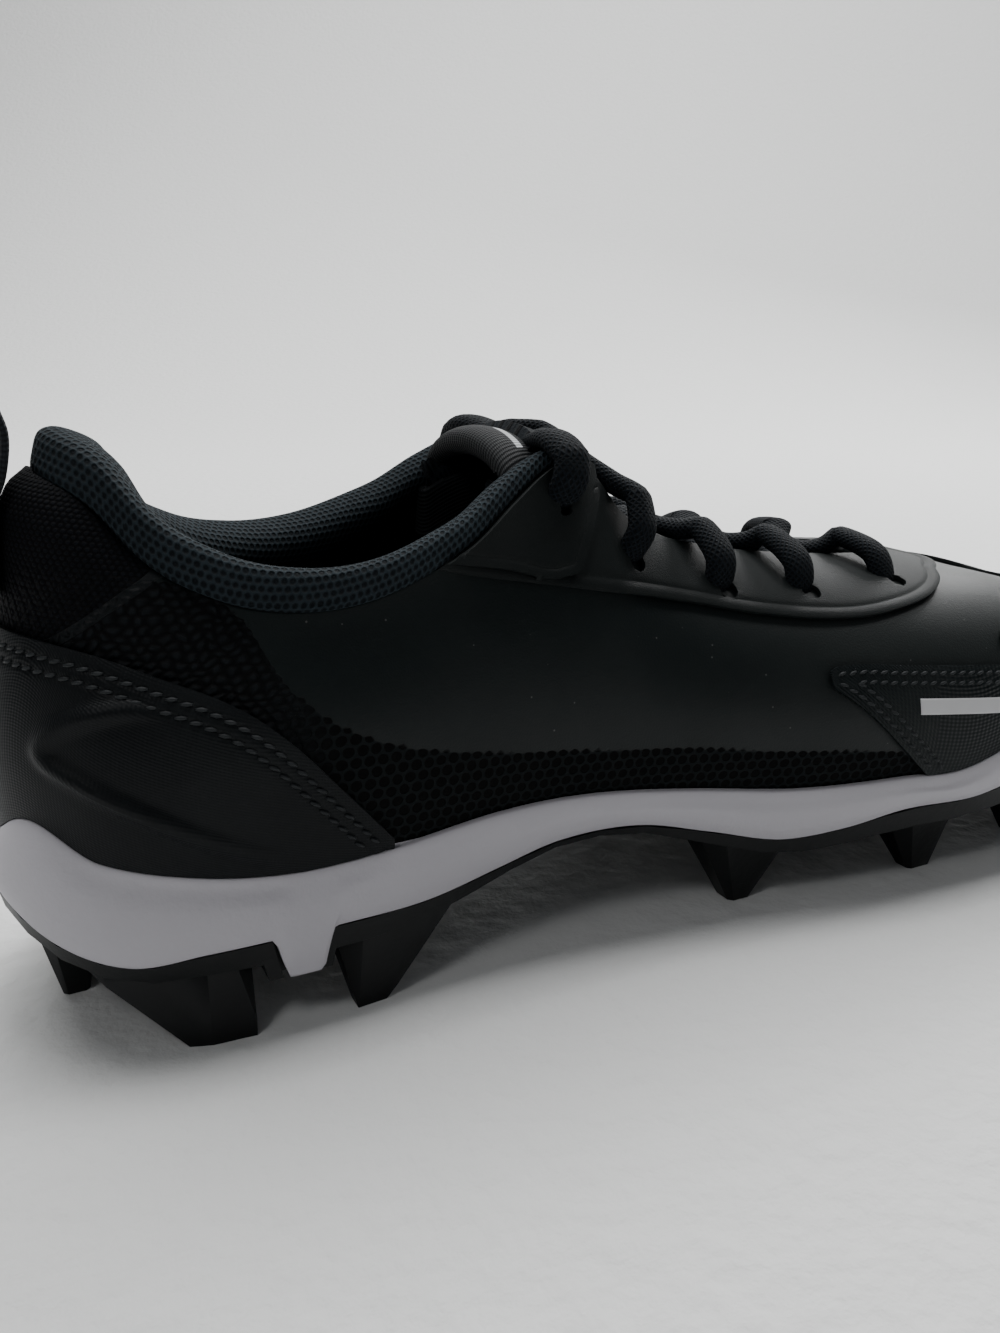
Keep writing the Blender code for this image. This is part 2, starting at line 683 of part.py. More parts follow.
def crossing_rows(shape, ring):
    """Closes a ring of vertices with rows between its medial and lateral stations."""
    count = len(ring)
    half = count // 2
    rows = []
    for k in range(1, half):
        left = ring[k]
        right = ring[count - k]
        middle = shape.verts.new((left.co + right.co) / 2)
        rows.append((left, middle, right))
    shape.faces.new((ring[0], rows[0][0], rows[0][1]))
    shape.faces.new((ring[0], rows[0][1], rows[0][2]))
    for here, there in zip(rows, rows[1:]):
        shape.faces.new((here[0], there[0], there[1], here[1]))
        shape.faces.new((here[1], there[1], there[2], here[2]))
    shape.faces.new((rows[-1][0], ring[half], rows[-1][1]))
    shape.faces.new((rows[-1][1], ring[half], rows[-1][2]))


def ring_solid(name, rings, look):
    """Closed solid through rings that follow the shoe's stations, closed at its first and last ring. Its
    quads are split as the skin's are, along the diagonal that climbs from station to station."""
    shape = bmesh.new()
    rows = [[shape.verts.new(point) for point in ring] for ring in rings]
    count = len(rows[0])
    for here, there in zip(rows, rows[1:]):
        climbs = sum(vert.co.z for vert in here) <= sum(vert.co.z for vert in there)
        for k in range(count):
            after = (k + 1) % count
            if climbs:
                shape.faces.new((here[k], here[after], there[after]))
                shape.faces.new((here[k], there[after], there[k]))
            else:
                shape.faces.new((here[k], here[after], there[k]))
                shape.faces.new((here[after], there[after], there[k]))
    crossing_rows(shape, rows[0])
    crossing_rows(shape, rows[-1])
    return add_object(name, shape, look)


def rim_height(angle):
    return height_on(SIDEWALL_BOTTOM, angle, SIDEWALL_HEIGHT)


def tray_height(angle):
    """Floor of the plate inside its rim."""
    plate_top = height_on(PLATE_BOTTOM, angle, SIDEWALL_HEIGHT) + PLATE
    return min(plate_top, rim_height(angle) - CLEARANCE)


def build_midsole(look):
    angles = ring_angles()
    tray = [sole_point(a, tray_height(a) + CLEARANCE, RIM_WIDTH + 3 * RIM_INSET) for a in angles]
    rim = [sole_point(a, rim_height(a), RIM_WIDTH + RIM_INSET) for a in angles]
    bottom = [sole_point(a, rim_height(a)) for a in angles]
    lip = []
    lip_top = []
    inner_top = []
    inner_low = []
    foot = []
    for angle in angles:
        top = level_at_height(angle, lip_height(angle))
        low = level_at_height(angle, lip_height(angle) - LIP_BAND)
        lip.append(skin_side(angle, low, LIP))
        lip_top.append(skin_side(angle, top, LIP * LIP_TAPER))
        inner_top.append(skin_side(angle, top, CLEARANCE))
        inner_low.append(skin_side(angle, SIDE_LEVELS[1], CLEARANCE))
        under = skin_side(angle, 0.0, CLEARANCE)
        under[2] = feather_point(angle)[2] - CLEARANCE
        foot.append(under)
    walls = []
    for share in WALL_RINGS:
        ring = []
        for k, angle in enumerate(angles):
            away = sole_point(angle, 0, -SIDEWALL_BULGE) - sole_point(angle, 0)
            ring.append(bottom[k] * (1 - share) + lip[k] * share + away)
        walls.append(ring)
    rings = [tray, rim, bottom, *walls, lip, lip_top, inner_top, inner_low, foot]
    midsole = ring_solid("midsole", rings, look)
    for side in (-1, 1):
        combine(midsole, build_tab("tab_guide", side, 0.0, look), "UNION")
    return midsole


def build_insole(look):
    angles = ring_angles()
    rings = []
    for lift in (0.0, 1.0):
        ring = []
        for angle in angles:
            point = skin_side(angle, 0.05 * lift, -WALL - 5 * CLEARANCE)
            point[2] = feather_point(angle)[2] + INSOLE_THICKNESS * lift
            ring.append(point)
        rings.append(ring)
    return ring_solid("insole", rings, look)


def build_plate(look):
    angles = ring_angles()
    tray = [sole_point(a, tray_height(a), RIM_WIDTH + 2 * RIM_INSET) for a in angles]
    rim = [sole_point(a, rim_height(a) - CLEARANCE, RIM_WIDTH) for a in angles]
    top = [sole_point(a, rim_height(a) - CLEARANCE) for a in angles]
    bottom = [sole_point(a, height_on(PLATE_BOTTOM, a, SIDEWALL_HEIGHT), RIM_INSET) for a in angles]
    return ring_solid("outsole", [tray, rim, top, bottom], look)


def plate_bottom_at(x):
    """Height of the plate's underside at a distance from the back of the heel."""
    share = (x - SOLE_BACK) / (LENGTH - SOLE_BACK - SOLE_FRONT_GAP)
    return height_on(PLATE_BOTTOM, ring_angle(share), SIDEWALL_HEIGHT)


def stud_corners(stud, width_key, length_key, shift, chamfer):
    """Eight-cornered outline of a stud's root or tip, round its centre."""
    half_length = stud[length_key] / 2 * MM
    half_width = stud[width_key] / 2 * MM
    x = stud["x"] * LENGTH + shift * stud["shift_x"] * MM
    y = stud["y"] * BALL_WIDTH + shift * stud["shift_y"] * MM
    cut = chamfer * min(half_length, half_width)
    corners = []
    for sx, sy in ((1, 1), (-1, 1), (-1, -1), (1, -1)):
        first = (x + sx * half_length, y + sy * (half_width - cut))
        second = (x + sx * (half_length - cut), y + sy * half_width)
        corners += [first, second] if sx * sy > 0 else [second, first]
    return corners


def build_studs(look):
    """All studs, trimmed to the sole's outline so that their outer faces run on from its rim."""
    shape = bmesh.new()
    for row in STUDS:
        stud = dict(zip(ENTRY, row))
        root = [(x, y, plate_bottom_at(x) + PLATE / 2)
                for x, y in stud_corners(stud, "root_width", "root_length", 0, ROOT_CHAMFER)]
        tip = [(x, y, 0.0) for x, y in stud_corners(stud, "tip_width", "tip_length", 1, TIP_CHAMFER)]
        upper_ring = [shape.verts.new(point) for point in root]
        lower_ring = [shape.verts.new(point) for point in tip]
        for k in range(len(root)):
            after = (k + 1) % len(root)
            shape.faces.new((upper_ring[k], upper_ring[after], lower_ring[after], lower_ring[k]))
        shape.faces.new(upper_ring)
        shape.faces.new(lower_ring)
    bmesh.ops.triangulate(shape, faces=[face for face in shape.faces if len(face.verts) > 4])
    studs = add_object("studs_guide", shape, look)
    rings = [[sole_point(angle, height, RIM_INSET) for angle in ring_angles()[::2]]
             for height in (-STUD_HEIGHT, 2 * STUD_HEIGHT)]
    combine(studs, ring_solid("outline_guide", rings, look), "INTERSECT")
    return studs


def build_outsole(look):
    plate = build_plate(look)
    combine(plate, build_studs(look), "UNION")
    for side in (-1, 1):
        combine(plate, build_bridge(side, look), "UNION")
        combine(plate, build_tab("tab_slot_guide", side, CLEARANCE, look), "DIFFERENCE")
    return plate


def tab_middle(side):
    """Place of the sidewall's tab on the sole's outline, between the heel studs."""
    angle = ring_angle(TAB_SHARE)
    return sole_point(angle if side < 0 else 2 * math.pi - angle, 0)


def build_tab(name, side, grow, look):
    """Tapered tab of the sidewall that hangs between the heel studs."""
    middle = tab_middle(side)
    top = STUD_HEIGHT + SIDEWALL_HEIGHT * TAB_REACH
    foot = STUD_HEIGHT - TAB_DROP - (TAB_DROP if grow else 0)
    slope = (TAB_TOP_WIDTH - TAB_WIDTH) / 2 / (top - STUD_HEIGHT + TAB_DROP)
    half_top = TAB_TOP_WIDTH / 2 + grow
    half_foot = half_top - slope * (top - foot)
    corners = [(-half_top, top), (half_top, top), (half_foot, foot), (-half_foot, foot)]
    inner = middle[1] - side * (TAB_DEPTH + grow)
    outer = middle[1] + side * (TAB_DEPTH if grow else 0.0)
    rings = [[(middle[0] + x, y, z) for x, z in corners] for y in (inner, outer)]
    return loft(f"{name}_{side}", rings, look)


def build_bridge(side, look):
    """Block under the plate that backs the tab between two heel studs."""
    middle = tab_middle(side)
    reach = TAB_TOP_WIDTH / 2 + BRIDGE_CHEEK
    low = STUD_HEIGHT - TAB_DROP
    high = STUD_HEIGHT + PLATE / 2
    outer = middle[1] - side * RIM_INSET
    inner = middle[1] - side * BRIDGE_WIDTH
    corners = [(-reach, high), (reach, high), (reach * BRIDGE_TAPER, low), (-reach * BRIDGE_TAPER, low)]
    rings = [[(middle[0] + x, y, z) for x, z in corners] for y in (inner, outer)]
    return loft(f"bridge_guide_{side}", rings, look)


# Laces
def lace_tube(shape, path, radius, sides=6):
    """Closed tube along a path of points, added to a shape."""
    points = [np.asarray(point, float) for point in path]
    rings = []
    for k, point in enumerate(points):
        run = points[min(k + 1, len(points) - 1)] - points[max(k - 1, 0)]
        run = run / np.linalg.norm(run)
        side = np.cross(run, (1.0, 0.0, 0.0))
        side = side / np.linalg.norm(side)
        up = np.cross(side, run)
        ring = []
        for corner in range(sides):
            turn = 2 * math.pi * corner / sides
            ring.append(shape.verts.new(point + radius * (math.cos(turn) * side + math.sin(turn) * up)))
        rings.append(ring)
    for here, there in zip(rings, rings[1:]):
        for k in range(sides):
            shape.faces.new((here[k], here[(k + 1) % sides], there[(k + 1) % sides], there[k]))
    shape.faces.new(rings[0])
    shape.faces.new(rings[-1])


def lace_sink(angle, place):
    """How far a lace gives up its height over the eyestay for the height over the tongue."""
    if not 1 < place < 3:
        return 0.0
    return math.sin(math.pi * (place - 1) / 2) * along(LACE_SINK, length_share(angle))


def lace_path(start_share, end_share):
    """Route over the tongue from a medial eyelet to a lateral one, above the eyestay."""
    start = ring_angle(start_share)
    end = ring_angle(end_share)
    start_level = level_below_edge(start, EYELET_INSET)
    end_level = level_below_edge(end, EYELET_INSET)
    path = []
    for step in range(LACE_STEPS + 1):
        t = step / LACE_STEPS
        place = start_level + (4 - end_level - start_level) * t
        angle = start + (end - start) * t
        tabs = min(1.0, max(0.0, 1.5 * (TAB_FOOT[-1][0] + COLLAR_RUNOUT - length_share(angle)) / COLLAR_RUNOUT))
        over_eyestay = 3 * CLEARANCE + OVERLAY + tabs * (OVERLAY + 2 * CLEARANCE)
        over_tongue = CLEARANCE - tongue_depth(angle)
        height = over_eyestay + (over_tongue - over_eyestay) * lace_sink(angle, place)
        path.append(skin(angle, place, height + LACE_RADIUS))
    return path


def build_laces(look):
    made = []
    bar = bmesh.new()
    lace_tube(bar, lace_path(EYELETS[0], EYELETS[0]), LACE_RADIUS)
    made.append(add_object("lace_top_bar", bar, look))
    for number, (rear, front) in enumerate(zip(EYELETS, EYELETS[1:]), start=1):
        inset = (front - rear) * CROSSING_INSET
        down = bmesh.new()
        lace_tube(down, lace_path(rear + inset, front), LACE_RADIUS)
        crossing = add_object(f"lace_crossing_{number}", down, look)
        other = bmesh.new()
        lace_tube(other, lace_path(front, rear + inset), LACE_RADIUS * UNDER_LACE)
        combine(crossing, add_object(f"lace_guide_{number}", other, look), "UNION")
        made.append(crossing)
    return made


# Pull loop at the heel
def build_pull_loop(look):
    """Strap sewn to the back of the heel that stands up in a loop above the collar."""
    half = LOOP_STRAP / 2
    inner = []
    for level in (0.70, 0.80, 0.90, 1.0):
        inner.append(skin_side(0.0, level, CLEARANCE + half))
    edge = edge_point(0.0)
    x = edge[0] - COLLAR_DEPTH * 0.15 - CLEARANCE - LOOP_STRAP
    top = edge[2] + COLLAR_RISE
    inner[-1][0] = x
    inner.append(np.array((x, 0, edge[2] + COLLAR_RISE * 0.55)))
    route = [(point[0], point[2]) for point in inner]
    route += [(x - back * LOOP_REACH, top + rise * LOOP_RISE) for back, rise in LOOP_ROUTE]
    foot = inner[0]
    route += [
        (foot[0] + 0.1 * (x - LOOP_REACH - foot[0]) - 2.6 * LOOP_STRAP, foot[2] + LOOP_FLARE),
        (foot[0] - 1.6 * LOOP_STRAP, foot[2] + LOOP_FOOT),
    ]
    rings = []
    count = len(route)
    for k in range(count):
        before = np.array(route[k - 1])
        after = np.array(route[(k + 1) % count])
        run = (after - before) / np.linalg.norm(after - before)
        side = np.array((-run[1], run[0]))
        ring = []
        for across, out in ((-1, -1), (1, -1), (1, 1), (-1, 1)):
            spot = np.array(route[k]) + side * out * half
            ring.append((spot[0], across * LOOP_WIDTH / 2, spot[1]))
        rings.append(ring)
    return loft("pull_loop", rings, look, closed_profile=True)


def centre_on_floor():
    """Moves the shoe so that its box stands centred on the origin."""
    graph = bpy.context.evaluated_depsgraph_get()
    pieces = [piece for piece in bpy.data.objects if not piece.hide_render]
    corners = np.array([corner for piece in pieces for corner in piece.evaluated_get(graph).bound_box])
    low = corners.min(axis=0)
    high = corners.max(axis=0)
    for piece in bpy.data.objects:
        piece.location = (-(low[0] + high[0]) / 2, -(low[1] + high[1]) / 2, -low[2])


def main():
    for old in list(bpy.data.objects):
        bpy.data.objects.remove(old)
    black_synthetic = material("black_synthetic", (0.012, 0.018, 0.019), 0.45)
    black_overlay = material("black_overlay", (0.016, 0.019, 0.021), 0.5)
    navy_knit = material("navy_knit", (0.010, 0.013, 0.022), 0.85)
    lace_weave = material("lace_weave", (0.012, 0.017, 0.030), 0.8)
    pale_foam = material("pale_foam", (0.62, 0.60, 0.66), 0.6)
    black_rubber = material("black_rubber", (0.012, 0.013, 0.014), 0.4)
    grey_lining = material("grey_lining", (0.03, 0.03, 0.035), 0.9)
    build_upper(black_synthetic)
    build_midsole(pale_foam)
    build_outsole(black_rubber)
    build_insole(grey_lining)
    build_heel_counter(black_overlay)
    build_eyestay(black_overlay)
    for side in ("medial", "lateral"):
        build_lace_tab(side, black_overlay)
        build_forefoot_panel(side, black_overlay)
    build_toe_cap(black_overlay)
    build_collar(navy_knit)
    build_tongue(navy_knit)
    build_laces(lace_weave)
    build_pull_loop(lace_weave)
    centre_on_floor()


main()
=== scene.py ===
"""Baseball cleat, left shoe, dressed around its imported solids: synthetic upper with moulded overlays,
knit collar and tongue, foam midsole and a studded rubber plate. Metres, +Z up, toe towards +X."""
import math

import bmesh
import bpy
import numpy as np
from mathutils import Matrix, Vector


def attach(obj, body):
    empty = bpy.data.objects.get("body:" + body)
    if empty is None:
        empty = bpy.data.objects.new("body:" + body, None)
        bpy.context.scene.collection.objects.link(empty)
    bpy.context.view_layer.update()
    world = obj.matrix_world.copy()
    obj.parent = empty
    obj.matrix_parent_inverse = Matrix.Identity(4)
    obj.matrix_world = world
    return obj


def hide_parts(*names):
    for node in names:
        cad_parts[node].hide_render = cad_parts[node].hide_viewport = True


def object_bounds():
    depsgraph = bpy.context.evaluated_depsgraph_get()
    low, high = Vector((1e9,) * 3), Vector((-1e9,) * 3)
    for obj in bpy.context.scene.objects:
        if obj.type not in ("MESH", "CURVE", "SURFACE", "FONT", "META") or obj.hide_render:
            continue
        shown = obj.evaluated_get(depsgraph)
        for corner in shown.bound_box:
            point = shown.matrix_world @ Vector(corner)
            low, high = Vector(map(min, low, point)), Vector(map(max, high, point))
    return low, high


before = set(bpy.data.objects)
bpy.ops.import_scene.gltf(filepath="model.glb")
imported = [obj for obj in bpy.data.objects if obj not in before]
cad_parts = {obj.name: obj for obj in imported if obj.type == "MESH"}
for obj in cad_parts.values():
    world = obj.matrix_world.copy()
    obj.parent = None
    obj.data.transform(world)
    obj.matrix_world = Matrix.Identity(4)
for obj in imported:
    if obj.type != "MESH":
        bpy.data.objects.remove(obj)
cad_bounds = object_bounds()
MM = 0.001


# Camera: held low beside the heel on the medial side, it looks forward and down along the shoe, so near
# that the toe runs out of the picture. The lens is that of a hand-held phone.
CAMERA_PLACE = (-0.1484, -0.21695, 0.127)
CAMERA_YAW = 26.5
CAMERA_PITCH = 17.2
CAMERA_LENS = 30.5

camera = bpy.data.cameras.new("camera")
camera.lens = CAMERA_LENS
camera.clip_start = 0.01
camera_stand = bpy.data.objects.new("camera", camera)
camera_stand.location = CAMERA_PLACE
camera_stand.rotation_euler = (math.radians(90 - CAMERA_PITCH), 0, math.radians(-CAMERA_YAW))
bpy.context.scene.collection.objects.link(camera_stand)
bpy.context.scene.camera = camera_stand


# Shader sums: a finish is a material whose sums are written as plain expressions on its sockets.
class Wire:
    """A socket of a finish. Arithmetic on it adds the finish's own maths."""

    def __init__(self, finish, socket):
        self.finish = finish
        self.socket = socket

    def sum(self, operation, *values):
        values = dict(enumerate((self, *values)))
        return self.finish.node("ShaderNodeMath", {"operation": operation}, values)

    def __add__(self, other):
        return self.sum("ADD", other)

    def __radd__(self, other):
        return self.sum("ADD", other)

    def __mul__(self, other):
        return self.sum("MULTIPLY", other)

    def __rmul__(self, other):
        return self.sum("MULTIPLY", other)

    def __sub__(self, other):
        return self.sum("SUBTRACT", other)

    def __rsub__(self, other):
        return self.sum("MULTIPLY_ADD", -1.0, other)

    def __truediv__(self, other):
        return self.sum("DIVIDE", other)

    def below(self, other):
        return self.sum("MINIMUM", other)

    def above(self, other):
        return self.sum("MAXIMUM", other)

    def size(self):
        return self.sum("ABSOLUTE")

    def wave(self):
        return self.sum("SINE")

    def root(self):
        return self.sum("SQRT")

    def cell(self, pitch):
        """Place within a repeat of this pitch, from minus half to plus half of it."""
        return (self / pitch).sum("FRACT") * pitch - pitch / 2

    def step(self, start, end):
        """Rises softly from 0 at start to 1 at end."""
        values = {"Value": self, "From Min": start, "From Max": end}
        return self.finish.node("ShaderNodeMapRange", {"interpolation_type": "SMOOTHSTEP"}, values)


class Finish:
    """A material with one shader, and one way to add any node to it."""

    def __init__(self, name, colour, roughness, **shader_values):
        self.material = bpy.data.materials.new(name)
        self.material.use_nodes = True
        self.tree = self.material.node_tree
        self.shader = self.tree.nodes["Principled BSDF"]
        self.shader.inputs["Base Color"].default_value = (*colour, 1)
        self.shader.inputs["Roughness"].default_value = roughness
        for key, value in shader_values.items():
            self.shader.inputs[key.replace("_", " ")].default_value = value

    def node(self, kind, settings=None, values=None, output=0):
        made = self.tree.nodes.new(kind)
        for key, value in (settings or {}).items():
            if key == "points":
                line = made.mapping.curves[0]
                for place, height in value[1:-1]:
                    line.points.new(place, height)
                line.points[0].location = value[0]
                line.points[-1].location = value[-1]
                made.mapping.update()
            else:
                setattr(made, key, value)
        for key, value in (values or {}).items():
            if isinstance(value, Wire):
                self.tree.links.new(value.socket, made.inputs[key])
            else:
                made.inputs[key].default_value = value
        return Wire(self, made.outputs[output])

    def feed(self, **sockets):
        for key, wire in sockets.items():
            self.tree.links.new(wire.socket, self.shader.inputs[key.replace("_", " ").title()])

    def place(self):
        """The point in the shoe's own frame, as three wires."""
        point = self.node("ShaderNodeTexCoord", output="Object")
        return [self.node("ShaderNodeSeparateXYZ", values={0: point}, output=k) for k in range(3)]

    def weave(self):
        """Distances along and across the piece, in metres, from its UV map."""
        point = self.node("ShaderNodeTexCoord", output="UV")
        return [self.node("ShaderNodeSeparateXYZ", values={0: point}, output=k) for k in range(2)]

    def noise(self, scale, detail=2.0, roughness=0.5, stretch=(1, 1, 1), space="Object"):
        point = self.node("ShaderNodeTexCoord", output=space)
        point = self.node("ShaderNodeMapping", values={"Vector": point, "Scale": stretch})
        values = {"Vector": point, "Scale": scale, "Detail": detail, "Roughness": roughness}
        return self.node("ShaderNodeTexNoise", values=values)

    def cracks(self, scale, feature="F1", stretch=(1, 1, 1), space="Object"):
        """Distance to the nearest of scattered points, for grain."""
        point = self.node("ShaderNodeTexCoord", output=space)
        point = self.node("ShaderNodeMapping", values={"Vector": point, "Scale": stretch})
        return self.node("ShaderNodeTexVoronoi", {"feature": feature}, {"Vector": point, "Scale": scale})

    def mix(self, share, first, second):
        """Colour between two colours."""
        values = {"Factor": share, "A": first, "B": second}
        values = {{"Factor": 0, "A": 6, "B": 7}[key]: value for key, value in values.items()}
        values = {key: (*value, 1) if isinstance(value, tuple) else value for key, value in values.items()}
        return self.node("ShaderNodeMix", {"data_type": "RGBA"}, values, output=2)

    def relief(self, height, distance, before=None):
        """Bump of a height in metres per unit."""
        values = {"Height": height, "Strength": 1.0, "Distance": distance}
        if before is not None:
            values["Normal"] = before
        return self.node("ShaderNodeBump", values=values)


# Room: a sheet of pale paper laid on the floor and swept up behind the shoe in one curve, square to the
# camera. One wide soft light hangs overhead, one washes the paper behind, one rims the toe's far side and
# a weak one fills the heel.
FLOOR_COLOUR = (0.62, 0.625, 0.62)
FLOOR_WIDTH = 9.0
FLOOR_BACK = 0.9
FLOOR_NEAR = -2.5
SWEEP_RADIUS = 1.2
WALL_HEIGHT = 3.0

floor_shape = bmesh.new()
bmesh.ops.create_grid(floor_shape, x_segments=8, y_segments=8, size=0.5)
bmesh.ops.scale(floor_shape, vec=(FLOOR_WIDTH, FLOOR_BACK - FLOOR_NEAR, 1), verts=floor_shape.verts)
bmesh.ops.translate(floor_shape, vec=(0, (FLOOR_BACK + FLOOR_NEAR) / 2, 0), verts=floor_shape.verts)
far_edge = [edge for edge in floor_shape.edges if all(vert.co.y > FLOOR_BACK - MM for vert in edge.verts)]
spin = bmesh.ops.spin(
    floor_shape, geom=far_edge, cent=(0, FLOOR_BACK, SWEEP_RADIUS), axis=(1, 0, 0), dvec=(0, 0, 0),
    angle=math.radians(90), steps=24, use_merge=False, use_duplicate=False,
)
top_edge = [part for part in spin["geom_last"] if isinstance(part, bmesh.types.BMEdge)]
raised = bmesh.ops.extrude_edge_only(floor_shape, edges=top_edge)
bmesh.ops.translate(
    floor_shape, vec=(0, 0, WALL_HEIGHT),
    verts=[part for part in raised["geom"] if isinstance(part, bmesh.types.BMVert)],
)
bmesh.ops.rotate(
    floor_shape, cent=(0, 0, 0), verts=floor_shape.verts,
    matrix=Matrix.Rotation(math.radians(-CAMERA_YAW), 3, "Z"),
)
floor_mesh = bpy.data.meshes.new("floor")
floor_shape.to_mesh(floor_mesh)
floor_shape.free()
floor_mesh.shade_smooth()
floor_piece = bpy.data.objects.new("floor", floor_mesh)
bpy.context.scene.collection.objects.link(floor_piece)
floor_look = Finish("pale_paper", FLOOR_COLOUR, 0.75)
floor_look.feed(normal=floor_look.relief(floor_look.noise(160.0, 4.0), 0.0012))
floor_mesh.materials.append(floor_look.material)


def soft_light(name, place, aim, size, power, colour=(1, 1, 1)):
    lamp = bpy.data.lights.new(name, "AREA")
    lamp.shape = "RECTANGLE"
    lamp.size = size[0]
    lamp.size_y = size[1]
    lamp.energy = power
    lamp.color = colour
    stand = bpy.data.objects.new(name, lamp)
    stand.location = place
    stand.rotation_euler = (Vector(aim) - Vector(place)).to_track_quat("-Z", "Y").to_euler()
    bpy.context.scene.collection.objects.link(stand)


soft_light("softbox_above", (0.0, 0.85, 1.6), (0.05, 0.1, 0.0), (1.8, 1.2), 36.0)
soft_light("wall_wash", (0.9, 0.3, 2.6), (0.9, 2.0, 0.7), (2.2, 1.0), 78.0)
soft_light("rim_right", (0.95, 0.65, 0.80), (0.08, 0.0, 0.06), (0.45, 0.45), 10.0)
soft_light("fill_left", (-0.75, -0.45, 0.95), (-0.05, 0.0, 0.03), (0.25, 0.25), 2.2)
world = bpy.data.worlds.new("room")
world.use_nodes = True
world.node_tree.nodes["Background"].inputs["Color"].default_value = (0.93, 0.96, 1.0, 1)
world.node_tree.nodes["Background"].inputs["Strength"].default_value = 0.12
bpy.context.scene.world = world


# Last: the foot form that the upper, its overlays, the collar and the tongue are all pulled over. Each
# section runs from the sole line over the widest line of the foot to the top edge of the upper.
LENGTH = 302 * MM
BALL_WIDTH = 102 * MM
HEEL_HEIGHT = 87.5 * MM
INSTEP_HEIGHT = 87 * MM
STUD_HEIGHT = 14.5 * MM
SIDEWALL_HEIGHT = 20 * MM
FOOTBED_HEIGHT = 12.5 * MM
WALL = 2.2 * MM
OVERLAY = 1.0 * MM
CLEARANCE = 0.3 * MM

# The back of the heel in the shoe's frame: the box of the shoe begins behind it
HEEL_OVERHANG = 1.8 * MM
MIDDLE = -1.886 * MM
HEEL = np.array((cad_bounds[0][0] - HEEL_OVERHANG, MIDDLE, 0))

FEATHER_BACK, FEATHER_FRONT_GAP = 8 * MM, 9 * MM
WIDE_BACK, WIDE_FRONT_GAP = 5 * MM, 4.5 * MM
EDGE_BACK, EDGE_FRONT_GAP = 17.5 * MM, 21 * MM
SOLE_BACK, SOLE_FRONT_GAP = 2.5 * MM, 1.5 * MM
THROAT_END = 0.735

# Half widths as shares of BALL_WIDTH: share of length, medial, lateral
FEATHER_WIDTH = (
    (0.00, 0.000, 0.000), (0.03, -0.160, 0.160), (0.06, -0.228, 0.230), (0.11, -0.290, 0.295),
    (0.20, -0.318, 0.325), (0.35, -0.275, 0.345), (0.50, -0.335, 0.405), (0.62, -0.412, 0.470),
    (0.72, -0.435, 0.480), (0.83, -0.412, 0.425), (0.92, -0.335, 0.285), (0.97, -0.245, 0.128),
    (1.00, -0.085, -0.085),
)
WIDE_WIDTH = (
    (0.00, 0.000, 0.000), (0.03, -0.202, 0.202), (0.06, -0.275, 0.277), (0.11, -0.332, 0.338),
    (0.20, -0.352, 0.362), (0.35, -0.338, 0.378), (0.50, -0.388, 0.440), (0.62, -0.450, 0.500),
    (0.72, -0.472, 0.512), (0.83, -0.447, 0.462), (0.92, -0.372, 0.325), (0.97, -0.275, 0.158),
    (1.00, -0.085, -0.085),
)
EDGE_WIDTH = (
    (0.00, 0.000, 0.000), (0.02, -0.130, 0.130), (0.05, -0.202, 0.204), (0.10, -0.265, 0.268),
    (0.16, -0.294, 0.298), (0.22, -0.290, 0.296), (0.28, -0.262, 0.270), (0.35, -0.205, 0.215),
    (0.42, -0.165, 0.175), (0.50, -0.145, 0.155), (0.60, -0.126, 0.136), (0.68, -0.102, 0.108),
    (0.74, -0.080, 0.080), (0.85, -0.100, 0.055), (0.95, -0.138, -0.020), (1.00, -0.085, -0.085),
)
SOLE_WIDTH = (
    (0.00, 0.000, 0.000), (0.03, -0.226, 0.226), (0.06, -0.297, 0.298), (0.11, -0.340, 0.345),
    (0.20, -0.352, 0.360), (0.35, -0.300, 0.350), (0.50, -0.372, 0.425), (0.62, -0.442, 0.492),
    (0.72, -0.470, 0.512), (0.83, -0.447, 0.462), (0.92, -0.372, 0.330), (0.97, -0.272, 0.165),
    (1.00, -0.085, -0.085),
)

# Heights above the plane that the studs hang from: share of length, share of the named height
FEATHER_RISE = (
    (0.00, 1.00), (0.20, 1.00), (0.40, 0.92), (0.55, 0.66), (0.72, 0.66), (0.86, 0.90), (1.00, 1.45),
)
WIDE_RISE = (
    (0.00, 0.406), (0.20, 0.406), (0.40, 0.360), (0.60, 0.295), (0.75, 0.305), (0.90, 0.315), (1.00, 0.335),
)
# Share of length, share of HEEL_HEIGHT, share of INSTEP_HEIGHT
EDGE_RISE = (
    (0.000, 1.000, 0.000), (0.025, 0.950, 0.000), (0.051, 0.850, 0.000), (0.093, 0.768, 0.000),
    (0.146, 0.730, 0.000), (0.203, 0.740, 0.000), (0.252, 0.395, 0.397), (0.277, 0.000, 0.830),
    (0.313, 0.000, 0.905), (0.351, 0.000, 0.968), (0.374, 0.000, 0.985), (0.392, 0.000, 0.945),
    (0.420, 0.000, 0.850), (0.461, 0.000, 0.775), (0.510, 0.000, 0.730), (0.590, 0.000, 0.685),
    (0.666, 0.000, 0.655), (0.746, 0.000, 0.630), (0.800, 0.000, 0.605), (0.867, 0.000, 0.555),
    (0.935, 0.000, 0.492), (1.000, 0.000, 0.415),
)
# How a section leaves the wide line and reaches the edge: share of length, rise, lean out, drop
EDGE_FULLNESS = (
    (0.00, 0.35, 0.25, 0.35), (0.15, 0.45, 0.20, 0.30), (0.35, 0.42, 0.30, 0.28), (0.50, 0.50, 0.42, 0.16),
    (0.65, 0.60, 0.50, 0.06), (0.80, 0.62, 0.52, 0.03), (1.00, 0.60, 0.50, 0.02),
)
WIDE_LEVEL = 0.3
FEATHER_FULLNESS = 0.35
CROWN_HANDLE = 0.28


